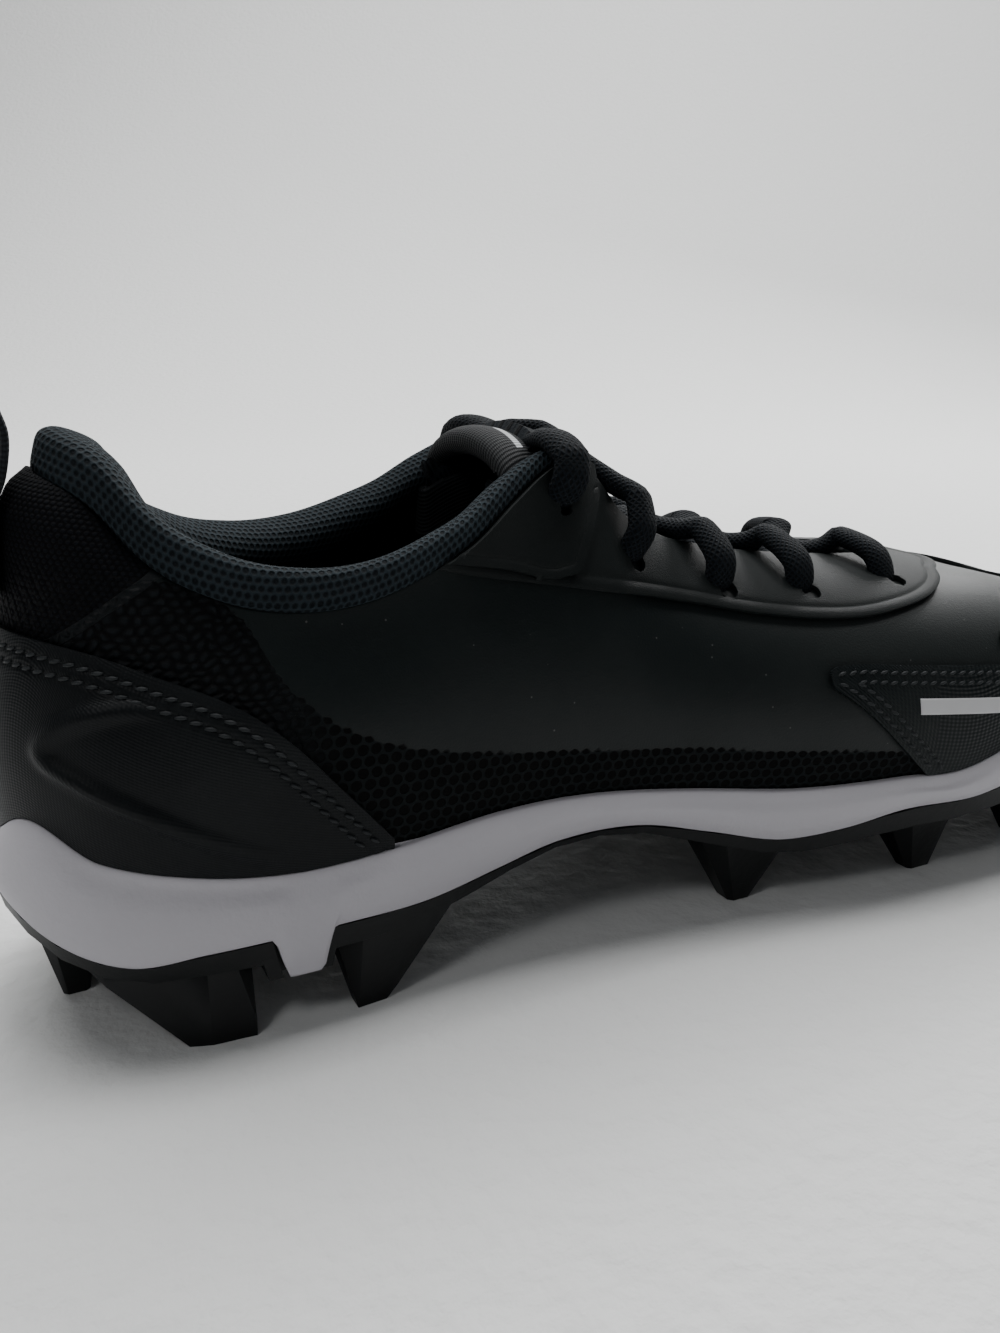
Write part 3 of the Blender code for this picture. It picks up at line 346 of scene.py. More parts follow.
def smooth(places, values, at):
    """Curve through (place, value) with slopes from both neighbours; places rise."""
    places = np.asarray(places, float)
    values = np.asarray(values, float)
    steps = np.diff(places)
    rises = np.diff(values) / steps
    slopes = np.empty(len(places))
    slopes[1:-1] = (rises[:-1] * steps[1:] + rises[1:] * steps[:-1]) / (steps[:-1] + steps[1:])
    slopes[0] = rises[0]
    slopes[-1] = rises[-1]
    place = np.clip(at, places[0], places[-1])
    cell = np.clip(np.searchsorted(places, place, side="right") - 1, 0, len(places) - 2)
    t = (place - places[cell]) / steps[cell]
    return (
        values[cell] * (1 + 2 * t) * (1 - t) ** 2
        + values[cell + 1] * t * t * (3 - 2 * t)
        + steps[cell] * (slopes[cell] * t * (1 - t) ** 2 - slopes[cell + 1] * t * t * (1 - t))
    )


def ring_angle(share):
    """Angle around the shoe, 0 at the heel and pi at the toe, for a share of the length."""
    return np.arccos(1 - 2 * np.clip(share, 0.0, 1.0))


def length_share(angle):
    return (1 - np.cos(angle)) / 2


def ring_value(rows, angle):
    """Value at angles around the shoe, smooth across heel and toe, from share, medial, lateral rows."""
    there = [float(ring_angle(row[0])) for row in rows]
    turn = 2 * math.pi
    places = there + [turn - place for place in reversed(there[1:-1])]
    values = [row[1] for row in rows] + [row[-1] for row in reversed(rows[1:-1])]
    places = [place - turn for place in places[-2:]] + places + [place + turn for place in places[:2]]
    values = values[-2:] + values + values[:2]
    return smooth(places, values, np.mod(angle, turn))


def along(rows, share, column=1):
    return smooth([row[0] for row in rows], [row[column] for row in rows], share)


def line_point(angle, back, front_gap, widths, height):
    """Points of one of the shoe's long lines."""
    x = back + (LENGTH - front_gap - back) * length_share(angle)
    return np.stack((x, BALL_WIDTH * ring_value(widths, angle), height + 0 * x), axis=-1)


def feather_point(angle):
    height = STUD_HEIGHT + FOOTBED_HEIGHT * ring_value(FEATHER_RISE, angle)
    return line_point(angle, FEATHER_BACK, FEATHER_FRONT_GAP, FEATHER_WIDTH, height)


def wide_point(angle):
    height = STUD_HEIGHT + HEEL_HEIGHT * ring_value(WIDE_RISE, angle)
    return line_point(angle, WIDE_BACK, WIDE_FRONT_GAP, WIDE_WIDTH, height)


def edge_point(angle):
    share = length_share(angle)
    height = HEEL_HEIGHT * along(EDGE_RISE, share, 1) + INSTEP_HEIGHT * along(EDGE_RISE, share, 2)
    return line_point(angle, EDGE_BACK, EDGE_FRONT_GAP, EDGE_WIDTH, STUD_HEIGHT + height)


def edge_handle(angle, edge, wide):
    """Control points that the sections aim from at their top edge."""
    share = length_share(angle)
    lean = along(EDGE_FULLNESS, share, 2)
    aim = edge + lean[..., None] * (wide - edge) * np.array((1, 1, 0))
    aim[..., 2] = edge[..., 2] - along(EDGE_FULLNESS, share, 3) * (edge[..., 2] - wide[..., 2])
    return aim


def side_point(angle, level):
    """Points of the outer surface: level 0 at the sole line, 1 at the top edge."""
    wide = wide_point(angle)
    feather = feather_point(angle)
    knee = wide.copy()
    knee[..., 2] = feather[..., 2] + FEATHER_FULLNESS * (wide[..., 2] - feather[..., 2])
    t = np.clip(level / WIDE_LEVEL, 0, 1)[..., None]
    lower = (1 - t) ** 2 * feather + 2 * t * (1 - t) * knee + t * t * wide
    t = np.clip((level - WIDE_LEVEL) / (1 - WIDE_LEVEL), 0, 1)[..., None]
    edge = edge_point(angle)
    upright = wide.copy()
    upright[..., 2] += along(EDGE_FULLNESS, length_share(angle), 1) * (edge[..., 2] - wide[..., 2])
    aim = edge_handle(angle, edge, wide)
    upper = (1 - t) ** 3 * wide + 3 * t * (1 - t) ** 2 * upright + 3 * t * t * (1 - t) * aim + t ** 3 * edge
    return np.where((np.asarray(level) <= WIDE_LEVEL)[..., None], lower, upper)


def crown_point(angle, across):
    """Points over the vamp between the medial edge line (0) and the lateral one (1)."""
    other = 2 * math.pi - angle
    left = edge_point(angle)
    right = edge_point(other)
    span = np.linalg.norm(right - left, axis=-1, keepdims=True)
    left_aim = left - edge_handle(angle, left, wide_point(angle))
    right_aim = right - edge_handle(other, right, wide_point(other))
    left_reach = np.maximum(np.linalg.norm(left_aim, axis=-1, keepdims=True), MM * 0.001)
    right_reach = np.maximum(np.linalg.norm(right_aim, axis=-1, keepdims=True), MM * 0.001)
    left_knee = left + left_aim / left_reach * span * CROWN_HANDLE
    right_knee = right + right_aim / right_reach * span * CROWN_HANDLE
    t = across[..., None]
    return (
        (1 - t) ** 3 * left + 3 * t * (1 - t) ** 2 * left_knee
        + 3 * t * t * (1 - t) * right_knee + t ** 3 * right
    )


def outward(point_at, first, second, step=0.02):
    """Unit normals of a surface from small steps both ways."""
    run = point_at(first + step, second) - point_at(first - step, second)
    climb = point_at(first, np.clip(second + step, 0, 1)) - point_at(first, np.clip(second - step, 0, 1))
    normal = np.cross(run, climb)
    return normal / np.maximum(np.linalg.norm(normal, axis=-1, keepdims=True), 1e-12)


def side_skin(angle, level, offset=0.0):
    """Points off the side; angles past pi are on the lateral side."""
    angle, level, offset = np.broadcast_arrays(angle, level, offset)
    return side_point(angle, level) + offset[..., None] * outward(side_point, angle, level)


def skin(angle, place, offset=0.0):
    """Points off the outer surface. Place 0 to 1 climbs the medial side, 1 to 3 crosses the crown and
    3 to 4 goes down the lateral side; angle 0 is the heel and pi the toe."""
    angle, place, offset = np.broadcast_arrays(np.asarray(angle, float), place, offset)
    lateral = place >= 3
    crown = (place > 1) & (place < 3) & (math.pi - angle >= 0.03)
    ring = np.where(lateral, 2 * math.pi - angle, angle)
    level = np.where(lateral, 4 - place, np.minimum(place, 1.0))
    sides = side_skin(ring, level, offset)
    across = np.clip((place - 1) / 2, 0, 1)
    over = crown_point(angle, across) + offset[..., None] * outward(crown_point, angle, across)
    return np.where(crown[..., None], over, sides)


def level_at(angle, height):
    """Level of a side where it reaches a height above the floor; one height for each angle."""
    if np.size(angle) > 2000:
        turns, first, place = np.unique(angle, return_index=True, return_inverse=True)
        heights = np.ravel(np.broadcast_to(height, np.shape(angle)))[first]
        return level_at(turns, heights)[place.reshape(np.shape(angle))]
    low = np.zeros(np.shape(angle))
    high = np.ones(np.shape(angle))
    for _ in range(20):
        middle = (low + high) / 2
        below = side_point(angle, middle)[..., 2] < height
        low = np.where(below, middle, low)
        high = np.where(below, high, middle)
    return (low + high) / 2


def level_below_edge(angle, distance):
    """Level of a side at a distance along the surface below its top edge; one distance for each angle."""
    if np.size(angle) > 2000:
        turns, first, place = np.unique(angle, return_index=True, return_inverse=True)
        distances = np.ravel(np.broadcast_to(distance, np.shape(angle)))[first]
        return level_below_edge(turns, distances)[place.reshape(np.shape(angle))]
    level = np.ones(np.shape(angle))
    here = side_point(angle, level)
    left = np.broadcast_to(distance, np.shape(angle)).copy()
    step = 0.02
    for _ in range(40):
        there = side_point(angle, level - step)
        stride = np.linalg.norm(there - here, axis=-1)
        share = np.clip(left / stride, 0, 1)
        level = level - step * share
        left = left - stride * share
        here = side_point(angle, level)
    return level


# Upper: one shell of black synthetic over a mesh lining, pulled over the last. Low on its flanks the
# synthetic is open in rows of small holes; behind the collar it gives way to a coarse knit.
RING_COLUMNS = 350
SIDE_ROWS = 60
HEEL_PAD = 4 * MM
HEEL_PAD_TURN = 0.42
CROWN_ROWS = 26


def spread(name, columns, rows, place_at, shape=None):
    """Grid of points placed by their shares along and across; its UV map holds distances in metres."""
    patch = bmesh.new()
    bmesh.ops.create_grid(patch, x_segments=columns, y_segments=rows, size=0.5)
    shares = np.array([vert.co[:2] for vert in patch.verts]) + 0.5
    points = place_at(shares[:, 0], shares[:, 1])
    column = np.rint(shares[:, 0] * columns).astype(int)
    row = np.rint(shares[:, 1] * rows).astype(int)
    lattice = np.zeros((columns + 1, rows + 1, 3))
    lattice[column, row] = points
    run = np.concatenate(([0.0], np.linalg.norm(np.diff(lattice, axis=0), axis=2).mean(axis=1).cumsum()))
    climb = np.zeros((columns + 1, rows + 1))
    climb[:, 1:] = np.linalg.norm(np.diff(lattice, axis=1), axis=2).cumsum(axis=1)
    weave = patch.loops.layers.uv.new("weave")
    for vert, point in zip(patch.verts, points + HEEL):
        vert.co = point
    for face in patch.faces:
        for loop in face.loops:
            corner = loop.vert.index
            loop[weave].uv = (run[column[corner]], climb[column[corner], row[corner]])
    made = bpy.data.meshes.new(name)
    patch.to_mesh(made)
    patch.free()
    if shape is None:
        shape = bmesh.new()
    shape.from_mesh(made)
    bpy.data.meshes.remove(made)
    return shape


def finished(name, shape, finish, slot, *nodes, sew=MM * 0.02):
    """Sewn piece of the shoe at the origin, which takes the place of the named solids."""
    if sew:
        bmesh.ops.remove_doubles(shape, verts=shape.verts, dist=sew)
    mesh = bpy.data.meshes.new(name)
    shape.to_mesh(mesh)
    shape.free()
    mesh.shade_smooth()
    mesh.materials.append(finish.material)
    piece = bpy.data.objects.new(name, mesh)
    bpy.context.scene.collection.objects.link(piece)
    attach(piece, "root")
    if nodes:
        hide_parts(*nodes)
    return piece


def ring_turn(share):
    """Angles that lie about evenly round the outline."""
    turn = 2 * math.pi * share
    return turn + 0.15 * np.sin(2 * turn)


def thicken(piece, thickness, offset=1.0, rounding=0.0):
    """Gives a sheet its wall, and rounds its cut edges."""
    wall = piece.modifiers.new("wall", "SOLIDIFY")
    wall.thickness = thickness
    wall.offset = offset
    if rounding:
        edge = piece.modifiers.new("rounding", "BEVEL")
        edge.width = rounding
        edge.segments = 3
        edge.limit_method = "ANGLE"
        edge.angle_limit = math.radians(50)
        edge.harden_normals = False


# The throat ends at one of the last's sections
LAST_SECTIONS = 35
section_turns = ring_turn(np.arange(LAST_SECTIONS + 1) / LAST_SECTIONS / 2)
throat_section = int(np.abs(length_share(section_turns) - THROAT_END).argmin())
throat_turn = section_turns[throat_section]
throat_column = throat_section * RING_COLUMNS // LAST_SECTIONS // 2
crown_columns = RING_COLUMNS // 2 - throat_column


def heel_pad(angle, level):
    """How far the padded knit at the back of the heel stands out from the last."""
    turn = np.minimum(angle, 2 * math.pi - angle)
    swell = np.interp(level, (0.62, 0.72, 0.82, 0.90, 0.96, 1.0), (0.0, 0.3, 0.8, 1.0, 0.7, 0.0))
    return HEEL_PAD * swell * np.exp(-(turn / HEEL_PAD_TURN) ** 2)


def upper_side(u, v):
    angle = ring_turn(u)
    return side_skin(angle, v, heel_pad(angle, v))


def upper_crown(u, v):
    angle = ring_turn((throat_column + u * crown_columns) / RING_COLUMNS)
    return skin(angle, 1 + 2 * v)


# Below this line the flank is open mesh; above the other one, behind the collar, it is fine knit. Both
# are drawn on the side view: share of length, height above the floor as share of HEEL_HEIGHT.
MESH_LINE = (
    (0.00, 1.00), (0.13, 0.95), (0.178, 0.740), (0.224, 0.623), (0.290, 0.552), (0.373, 0.506),
    (0.446, 0.477), (0.527, 0.434), (0.620, 0.395), (0.68, 0.30), (1.00, 0.20),
)
KNIT_LINE = ((0.00, 0.740), (0.030, 0.803), (0.060, 0.870), (0.106, 0.975), (0.12, 1.00), (1.00, 1.00))
MESH_PITCH = 2.55 * MM
KNIT_PITCH = 1.3 * MM
BINDING = 2.0 * MM


def lattice(look, pitch, squeeze=1.0, wobble=0.0):
    """Distance from the nearest point of staggered rows, in pitches, measured along the surface."""
    u, v = look.weave()
    if wobble:
        u = u + (look.noise(190.0, 2.0) - 0.5) * (wobble * pitch)
        v = v + (look.noise(240.0, 2.0) - 0.5) * (wobble * pitch)
    u = u / pitch
    v = v / (pitch * 0.87 * squeeze)
    spans = []
    for shift in (0.0, 0.5):
        across = (u + shift).sum("FRACT") - 0.5
        up = ((v * 0.5 + shift).sum("FRACT") - 0.5) * 1.74
        spans.append((across * across + up * up).root())
    return spans[0].below(spans[1])


upper_look = Finish(
    "black_synthetic", (0.005, 0.008, 0.0085), 0.5,
    Specular_IOR_Level=0.1, Coat_Roughness=0.42, Coat_IOR=1.45,
)
x, y, z = upper_look.place()
share_along = (x - float(HEEL[0])) / LENGTH
mesh_line, knit_line = [
    upper_look.node("ShaderNodeFloatCurve", {"points": line}, {"Value": share_along}) * HEEL_HEIGHT
    for line in (MESH_LINE, KNIT_LINE)
]
cells = lattice(upper_look, MESH_PITCH, wobble=0.25)
knots = lattice(upper_look, MESH_PITCH * 0.95, 0.75, wobble=1.3)
rows = lattice(upper_look, KNIT_PITCH, 0.8)
ragged = (0.42 - cells) * (1.6 * MM)
in_mesh = (mesh_line - z + ragged).step(-0.2 * MM, 0.3 * MM)
in_knit = (z - knit_line).step(-0.1 * MM, 0.1 * MM)
in_binding = (z - knit_line + BINDING).step(-0.1 * MM, 0.1 * MM) * (1 - in_knit)
coarse = (0.185 - share_along).step(-0.02, 0.03)
uneven = upper_look.noise(260.0, 2.0)
hole = (0.40 - cells).step(-0.03, 0.06) * in_mesh * (1 - coarse)
bobble = (0.48 - knots).step(0.0, 0.34) * in_mesh * coarse * (0.2 + uneven)
knit = (0.46 - rows).step(0.0, 0.3) * in_knit
plain = (1 - in_mesh) * (1 - in_knit)
grain = upper_look.cracks(2300.0)
swell = upper_look.noise(45.0, 4.0)
lint = (0.06 - upper_look.cracks(250.0)).step(0.0, 0.02) * upper_look.noise(60.0).step(0.44, 0.54)
# The vamp is painted paler than the quarters towards its top: a painted sheen where it faces the light,
# over some real dust.
painted_sheen_and_dust = (share_along - 0.40).step(0.0, 0.22) * (z - 36 * MM).step(0.0, 16 * MM) * plain
colour = upper_look.mix(swell.step(0.3, 0.8), (0.0014, 0.0040, 0.0042), (0.0032, 0.0060, 0.0061))
# Painted sheen with some dust: the top of the vamp is lightened towards grey
colour = upper_look.mix(painted_sheen_and_dust * (0.5 + swell), colour, (0.0095, 0.0120, 0.0118))
colour = upper_look.mix(in_mesh, colour, (0.0060, 0.0078, 0.0084))
colour = upper_look.mix(hole, colour, (0.0004, 0.0005, 0.0006))
colour = upper_look.mix(in_mesh * coarse, colour, (0.0012, 0.0015, 0.0018))
colour = upper_look.mix(bobble, colour, (0.0080, 0.0100, 0.0118))
colour = upper_look.mix(in_knit, colour, (0.0005, 0.0006, 0.0012))
colour = upper_look.mix(knit * 0.8, colour, (0.0035, 0.0045, 0.0068))
colour = upper_look.mix(in_binding, colour, (0.006, 0.0075, 0.0085))
colour = upper_look.mix(lint * plain * 0.8, colour, (0.07, 0.07, 0.07))
height = grain * (plain * 0.10) + (bobble * 1.3 + knit * 0.4 + in_binding * 0.6 - hole * 1.2)
upper_look.feed(
    base_color=colour,
    roughness=0.46 + 0.10 * swell + 0.34 * (in_mesh + in_knit).below(1.0) * (1 - in_binding),
    coat_weight=plain * (0.22 + 0.14 * swell),
    normal=upper_look.relief(height, 0.7 * MM),
)
upper_shape = spread("upper_side", RING_COLUMNS, SIDE_ROWS, upper_side)
upper_shape = spread("upper_crown", crown_columns, CROWN_ROWS, upper_crown, upper_shape)
upper_piece = finished("upper_shell", upper_shape, upper_look, "black_synthetic", "upper")
thicken(upper_piece, WALL, offset=-1.0)


# Midsole: one moulded foam sidewall that cups the upper from below. A shallow step runs round under its
# lip, and a tapered tab hangs from it over each side of the plate between the heel studs.
LIP = 2.8 * MM
LIP_BAND = 1.6 * MM
LIP_TAPER = 0.55
SIDEWALL_BULGE = 0.9 * MM
WALL_RINGS = (0.32, 0.72)
RIM_WIDTH = 3.2 * MM
RIM_INSET = 0.8 * MM
TAB_SHARE = 0.168
TAB_TOP_WIDTH = 12 * MM
TAB_WIDTH = 6 * MM
TAB_DROP = 3.2 * MM
MIDSOLE_COLUMNS = 760
MIDSOLE_ROWS = 56

# Sidewall top and bottom: share of length, share of SIDEWALL_HEIGHT
SIDEWALL_TOP = (
    (0.000, 1.12), (0.010, 1.36), (0.050, 1.10), (0.100, 0.94), (0.160, 0.85), (0.226, 0.90),
    (0.300, 0.99), (0.376, 0.99), (0.451, 0.88), (0.534, 0.72), (0.625, 0.71), (0.695, 0.71),
    (0.725, 0.86), (0.755, 1.08), (0.800, 1.10), (0.900, 1.12), (1.000, 1.24),
)
SIDEWALL_BOTTOM = (
    (0.000, 0.66), (0.025, 0.38), (0.065, 0.18), (0.110, 0.23), (0.200, 0.26), (0.260, 0.24),
    (0.310, 0.33), (0.360, 0.47), (0.420, 0.49), (0.470, 0.32), (0.530, 0.11), (0.580, 0.16),
    (0.625, 0.28), (0.700, 0.30), (0.740, 0.40), (0.850, 0.52), (0.940, 0.68), (1.000, 0.88),
)


def lip_height(angle):
    return STUD_HEIGHT + SIDEWALL_HEIGHT * along(SIDEWALL_TOP, length_share(angle))


def rim_height(angle):
    """Lower edge of the sidewall, with the tab that hangs between the heel studs."""
    share = length_share(angle)
    edge = STUD_HEIGHT + SIDEWALL_HEIGHT * along(SIDEWALL_BOTTOM, share)
    off_tab = np.abs(share - TAB_SHARE) * LENGTH
    tab = np.clip((TAB_TOP_WIDTH / 2 - off_tab) / (TAB_TOP_WIDTH / 2 - TAB_WIDTH / 2), 0, 1)
    return edge - (edge - STUD_HEIGHT + TAB_DROP) * tab * tab * (3 - 2 * tab)


def sole_point(angle, height, inset=0.0):
    """Points of the sole's outline at a height, moved in from the edge."""
    run = (line_point(angle + 0.02, SOLE_BACK, SOLE_FRONT_GAP, SOLE_WIDTH, 0.0)
           - line_point(angle - 0.02, SOLE_BACK, SOLE_FRONT_GAP, SOLE_WIDTH, 0.0))
    away = np.stack((run[..., 1], -run[..., 0], 0 * run[..., 0]), axis=-1)
    away /= np.linalg.norm(away, axis=-1, keepdims=True)
    point = line_point(angle, SOLE_BACK, SOLE_FRONT_GAP, SOLE_WIDTH, 0.0) - away * inset
    point[..., 2] = height
    return point


def through(rings, share, sharp=()):
    """Smooth line through rings of points, at shares of the way; it turns sharply at the named rings."""
    rings = np.asarray(rings)
    count = len(rings)
    place = np.clip(share * (count - 1), 0, count - 1)
    cell = np.minimum(place.astype(int), count - 2)
    t = (place - cell)[..., None]
    pick = np.arange(rings.shape[1])
    here, there = rings[cell, pick], rings[cell + 1, pick]
    before, after = rings[np.maximum(cell - 1, 0), pick], rings[np.minimum(cell + 2, count - 1), pick]
    corner = np.isin(cell, sharp)[..., None]
    next_corner = np.isin(cell + 1, sharp)[..., None]
    leave = np.where(corner, there - here, (there - before) / 2)
    arrive = np.where(next_corner, there - here, (after - here) / 2)
    return (
        here * (1 + 2 * t) * (1 - t) ** 2 + there * t * t * (3 - 2 * t)
        + leave * t * (1 - t) ** 2 - arrive * t * t * (1 - t)
    )


def midsole_side(u, v):
    angle = ring_turn(u)
    lip = lip_height(angle)
    top = level_at(angle, lip)
    low = level_at(angle, lip - LIP_BAND)
    away = sole_point(angle, 0.0, -SIDEWALL_BULGE) - sole_point(angle, 0.0)
    rim = rim_height(angle)
    bottom = sole_point(angle, rim)
    lip_low = side_skin(angle, low, LIP)
    lip_top = side_skin(angle, top, LIP * LIP_TAPER)
    walls = [bottom * (1 - share) + lip_low * share + away for share in WALL_RINGS]
    rings = [
        sole_point(angle, rim, RIM_WIDTH + RIM_INSET), bottom, *walls, lip_low, lip_top,
        side_skin(angle, top, CLEARANCE), side_skin(angle, 0.1, CLEARANCE),
    ]
    return through(rings, v, sharp=(0, 1, 6))


foam_look = Finish("pale_foam", (0.50, 0.48, 0.52), 0.55, Specular_IOR_Level=0.3)
foam_cells = foam_look.noise(900.0, 2.0)
foam_tone = foam_look.noise(14.0, 4.0)
foam_look.feed(
    base_color=foam_look.mix(foam_tone, (0.43, 0.415, 0.45), (0.50, 0.485, 0.515)),
    normal=foam_look.relief(foam_cells, 0.00008),
)
midsole_shape = spread("midsole_side", MIDSOLE_COLUMNS, MIDSOLE_ROWS, midsole_side)
finished("midsole_wall", midsole_shape, foam_look, "pale_foam", "midsole")


# Outsole: one black rubber plate moulded with its studs, cupped under the midsole's rim.
rubber_look = Finish("black_rubber", (0.0035, 0.0042, 0.0046), 0.42, Specular_IOR_Level=0.22)
rubber_tone = rubber_look.noise(35.0, 4.0)
rubber_look.feed(
    roughness=0.34 + 0.18 * rubber_tone,
    normal=rubber_look.relief(rubber_look.noise(700.0, 3.0), 0.00006),
)
plate_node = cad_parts["outsole"]
outsole_shape = bmesh.new()
outsole_shape.from_mesh(plate_node.data)
bmesh.ops.remove_doubles(outsole_shape, verts=outsole_shape.verts, dist=MM * 0.02)
bmesh.ops.dissolve_limit(
    outsole_shape, angle_limit=math.radians(3), verts=outsole_shape.verts, edges=outsole_shape.edges,
)
outsole_piece = finished("outsole_plate", outsole_shape, rubber_look, "black_rubber", "outsole", sew=0)
outsole_piece.data.set_sharp_from_angle(angle=math.radians(32))
soften = outsole_piece.modifiers.new("rounding", "BEVEL")
soften.width = 0.5 * MM
soften.segments = 3
soften.limit_method = "ANGLE"
soften.angle_limit = math.radians(32)
soften.harden_normals = True


# Heel counter: a moulded cup glued and sewn over the back of the upper, with a blind swelling on each
# flank and two rows of stitches inside its top edge.
COUNTER_TOP = (
    (-0.03, 0.704), (0.02, 0.700), (0.045, 0.694), (0.07, 0.676), (0.11, 0.622), (0.140, 0.574),
    (0.156, 0.537), (0.170, 0.493), (0.205, 0.353), (0.240, 0.205),
)
COUNTER_END = 0.232
STITCH_PITCH = 2.6 * MM
STITCH_LENGTH = 2.5 * MM
STITCH_WIDTH = 0.85 * MM
STITCH_HEIGHT = 0.8 * MM
STITCH_SLANT = 0.32
# The swelling's edge, seen from the side: along and up, in millimetres from the back of the heel
SWELLING = (
    (36, 63.5), (26, 64.0), (18.4, 61.8), (14.6, 58.2), (14.6, 55.0), (19.5, 51.4), (29.0, 45.8),
    (39.6, 39.8), (54, 33),
)
SWELLING_NOSE = 56.5 * MM
SWELLING_RISE = 1.3 * MM
SWELLING_SOFTNESS = 1.3 * MM
# Where its two branches end, and over what length they fade
UPPER_BRANCH = (34 * MM, 12 * MM)
LOWER_BRANCH = (56 * MM, 28 * MM)
COUNTER_SEAMS = (2.6 * MM, 5.0 * MM)
SEAM_DEPTH = 0.22 * MM
SEAM_WIDTH = 0.6 * MM
THREAD_SINK = 0.05 * MM
COUNTER_GRID = (260, 90)
COUNTER_ROUNDING = 0.35 * MM


def line_height(rows, x):
    """Height of an overlay's outline, drawn as share of LENGTH and share of INSTEP_HEIGHT."""
    return STUD_HEIGHT + INSTEP_HEIGHT * along(rows, x / LENGTH)


def level_on(rows, angle):
    """Level at which each section crosses an outline drawn on the side view."""
    turns, place = np.unique(angle, return_inverse=True)
    level = np.full(len(turns), 0.6)
    for _ in range(5):
        level = level_at(turns, line_height(rows, side_point(turns, level)[..., 0]))
    return level[place.reshape(np.shape(angle))]


def turn_at(share, level=1.0):
    """Angle whose section passes a share of the length at this level."""
    turns = np.linspace(0, math.pi, 600)
    return float(np.interp(share * LENGTH, side_point(turns, np.full(600, level))[:, 0], turns))


def distance_to(points, line):
    """Distance from each point to a dense line of points."""
    found = np.full(len(points), 1.0)
    for start in range(0, len(points), 4000):
        part = points[start:start + 4000]
        gaps = np.linalg.norm(part[:, None, :] - line[None, :, :], axis=2)
        found[start:start + 4000] = gaps.min(axis=1)
    return found


def ridge(distance, at, width):
    """Soft ridge of height 1 at a distance."""
    return np.exp(-((distance - at) / width) ** 2)


def dense(rows, count=240):
    """Smooth line through given points."""
    places = np.arange(len(rows), dtype=float)
    at = np.linspace(0, len(rows) - 1, count)
    return np.stack([smooth(places, [row[k] for row in rows], at) for k in range(len(rows[0]))], axis=-1)


counter_turn = turn_at(COUNTER_END, 0.25)


def counter_levels(angle):
    low = level_at(angle, lip_height(angle) + CLEARANCE)
    high = np.maximum(level_on(COUNTER_TOP, angle), low + 0.004)
    return low, high


def counter_place(u, v):
    angle = np.mod((u - 0.5) * 2 * counter_turn, 2 * math.pi)
    low, high = counter_levels(angle)
    level = low + (high - low) * v
    flat = side_skin(angle, level, 0.0)
    near = distance_to(flat[:, [0, 2]], dense(SWELLING) * MM)
    fades = [(end - flat[:, 0]) / fade for end, fade in (UPPER_BRANCH, LOWER_BRANCH)]
    fade = np.clip(np.where(flat[:, 2] > SWELLING_NOSE, *fades), 0, 1)
    rise = SWELLING_RISE * ridge(near, 0, SWELLING_SOFTNESS)
    ring = np.mod(np.linspace(-counter_turn, counter_turn, 400), 2 * math.pi)
    edge = side_skin(ring, counter_levels(ring)[1], 0.0)
    from_edge = distance_to(flat, edge)
    seam = SEAM_DEPTH * sum(ridge(from_edge, inset, SEAM_WIDTH) for inset in COUNTER_SEAMS)
    return side_skin(angle, level, CLEARANCE + rise * fade - seam)


def rows_look(name, colour, roughness, pitch, depth, slant=0.0, light=(0.0056, 0.0070, 0.0078)):
    """Moulded overlay with fine ribs that run along it."""
    look = Finish(name, colour, roughness, Specular_IOR_Level=0.14)
    along_u, across_v = look.weave()
    ribs = ((across_v + along_u * slant) * (2 * math.pi / pitch)).wave()
    cross = (along_u * (2 * math.pi / (pitch * 1.3))).wave()
    height = ribs * 0.5 + cross * 0.35
    tone = look.noise(40.0, 4.0)
    look.feed(
        base_color=look.mix(tone.step(0.35, 0.75), colour, light),
        roughness=roughness + 0.12 * (tone - 0.5),
        normal=look.relief(height, depth),
    )
    return look


counter_look = rows_look("counter_overlay", (0.0024, 0.0034, 0.0042), 0.48, 0.55 * MM, 0.00003, slant=0.25)
counter_shape = spread("heel_counter", *COUNTER_GRID, counter_place)
counter_piece = finished("heel_counter_cup", counter_shape, counter_look, "black_overlay", "heel_counter")
thicken(counter_piece, OVERLAY, rounding=COUNTER_ROUNDING)


def stitches(shape, points, normals):
    """Adds a row of thread stitches along a line on a surface."""
    seed = bmesh.new()
    bmesh.ops.create_uvsphere(seed, u_segments=6, v_segments=4, radius=0.5)
    bmesh.ops.scale(seed, vec=(STITCH_LENGTH, STITCH_WIDTH, STITCH_HEIGHT), verts=seed.verts)
    bmesh.ops.rotate(seed, cent=(0, 0, 0), matrix=Matrix.Rotation(STITCH_SLANT, 3, "Z"), verts=seed.verts)
    steps = np.concatenate(([0.0], np.linalg.norm(np.diff(points, axis=0), axis=1).cumsum()))
    made = bpy.data.meshes.new("stitch")
    for number in range(int(steps[-1] / STITCH_PITCH)):
        at = (number + 0.5) * STITCH_PITCH
        spot = Vector([np.interp(at, steps, points[:, k]) for k in range(3)])
        ahead = Vector([np.interp(at + MM, steps, points[:, k]) for k in range(3)])
        up = Vector([np.interp(at, steps, normals[:, k]) for k in range(3)]).normalized()
        run = (ahead - spot).normalized()
        side = up.cross(run).normalized()
        facing = Matrix((run, side, run.cross(side))).transposed().to_4x4()
        place = Matrix.Translation(spot + Vector(HEEL)) @ facing
        seed.transform(place)
        seed.to_mesh(made)
        seed.transform(place.inverted())
        shape.from_mesh(made)
    seed.free()
    bpy.data.meshes.remove(made)


def on_side(angle, level, offset):
    """Points and normals along a line on the side."""
    return side_skin(angle, level, offset), outward(side_point, angle, level)


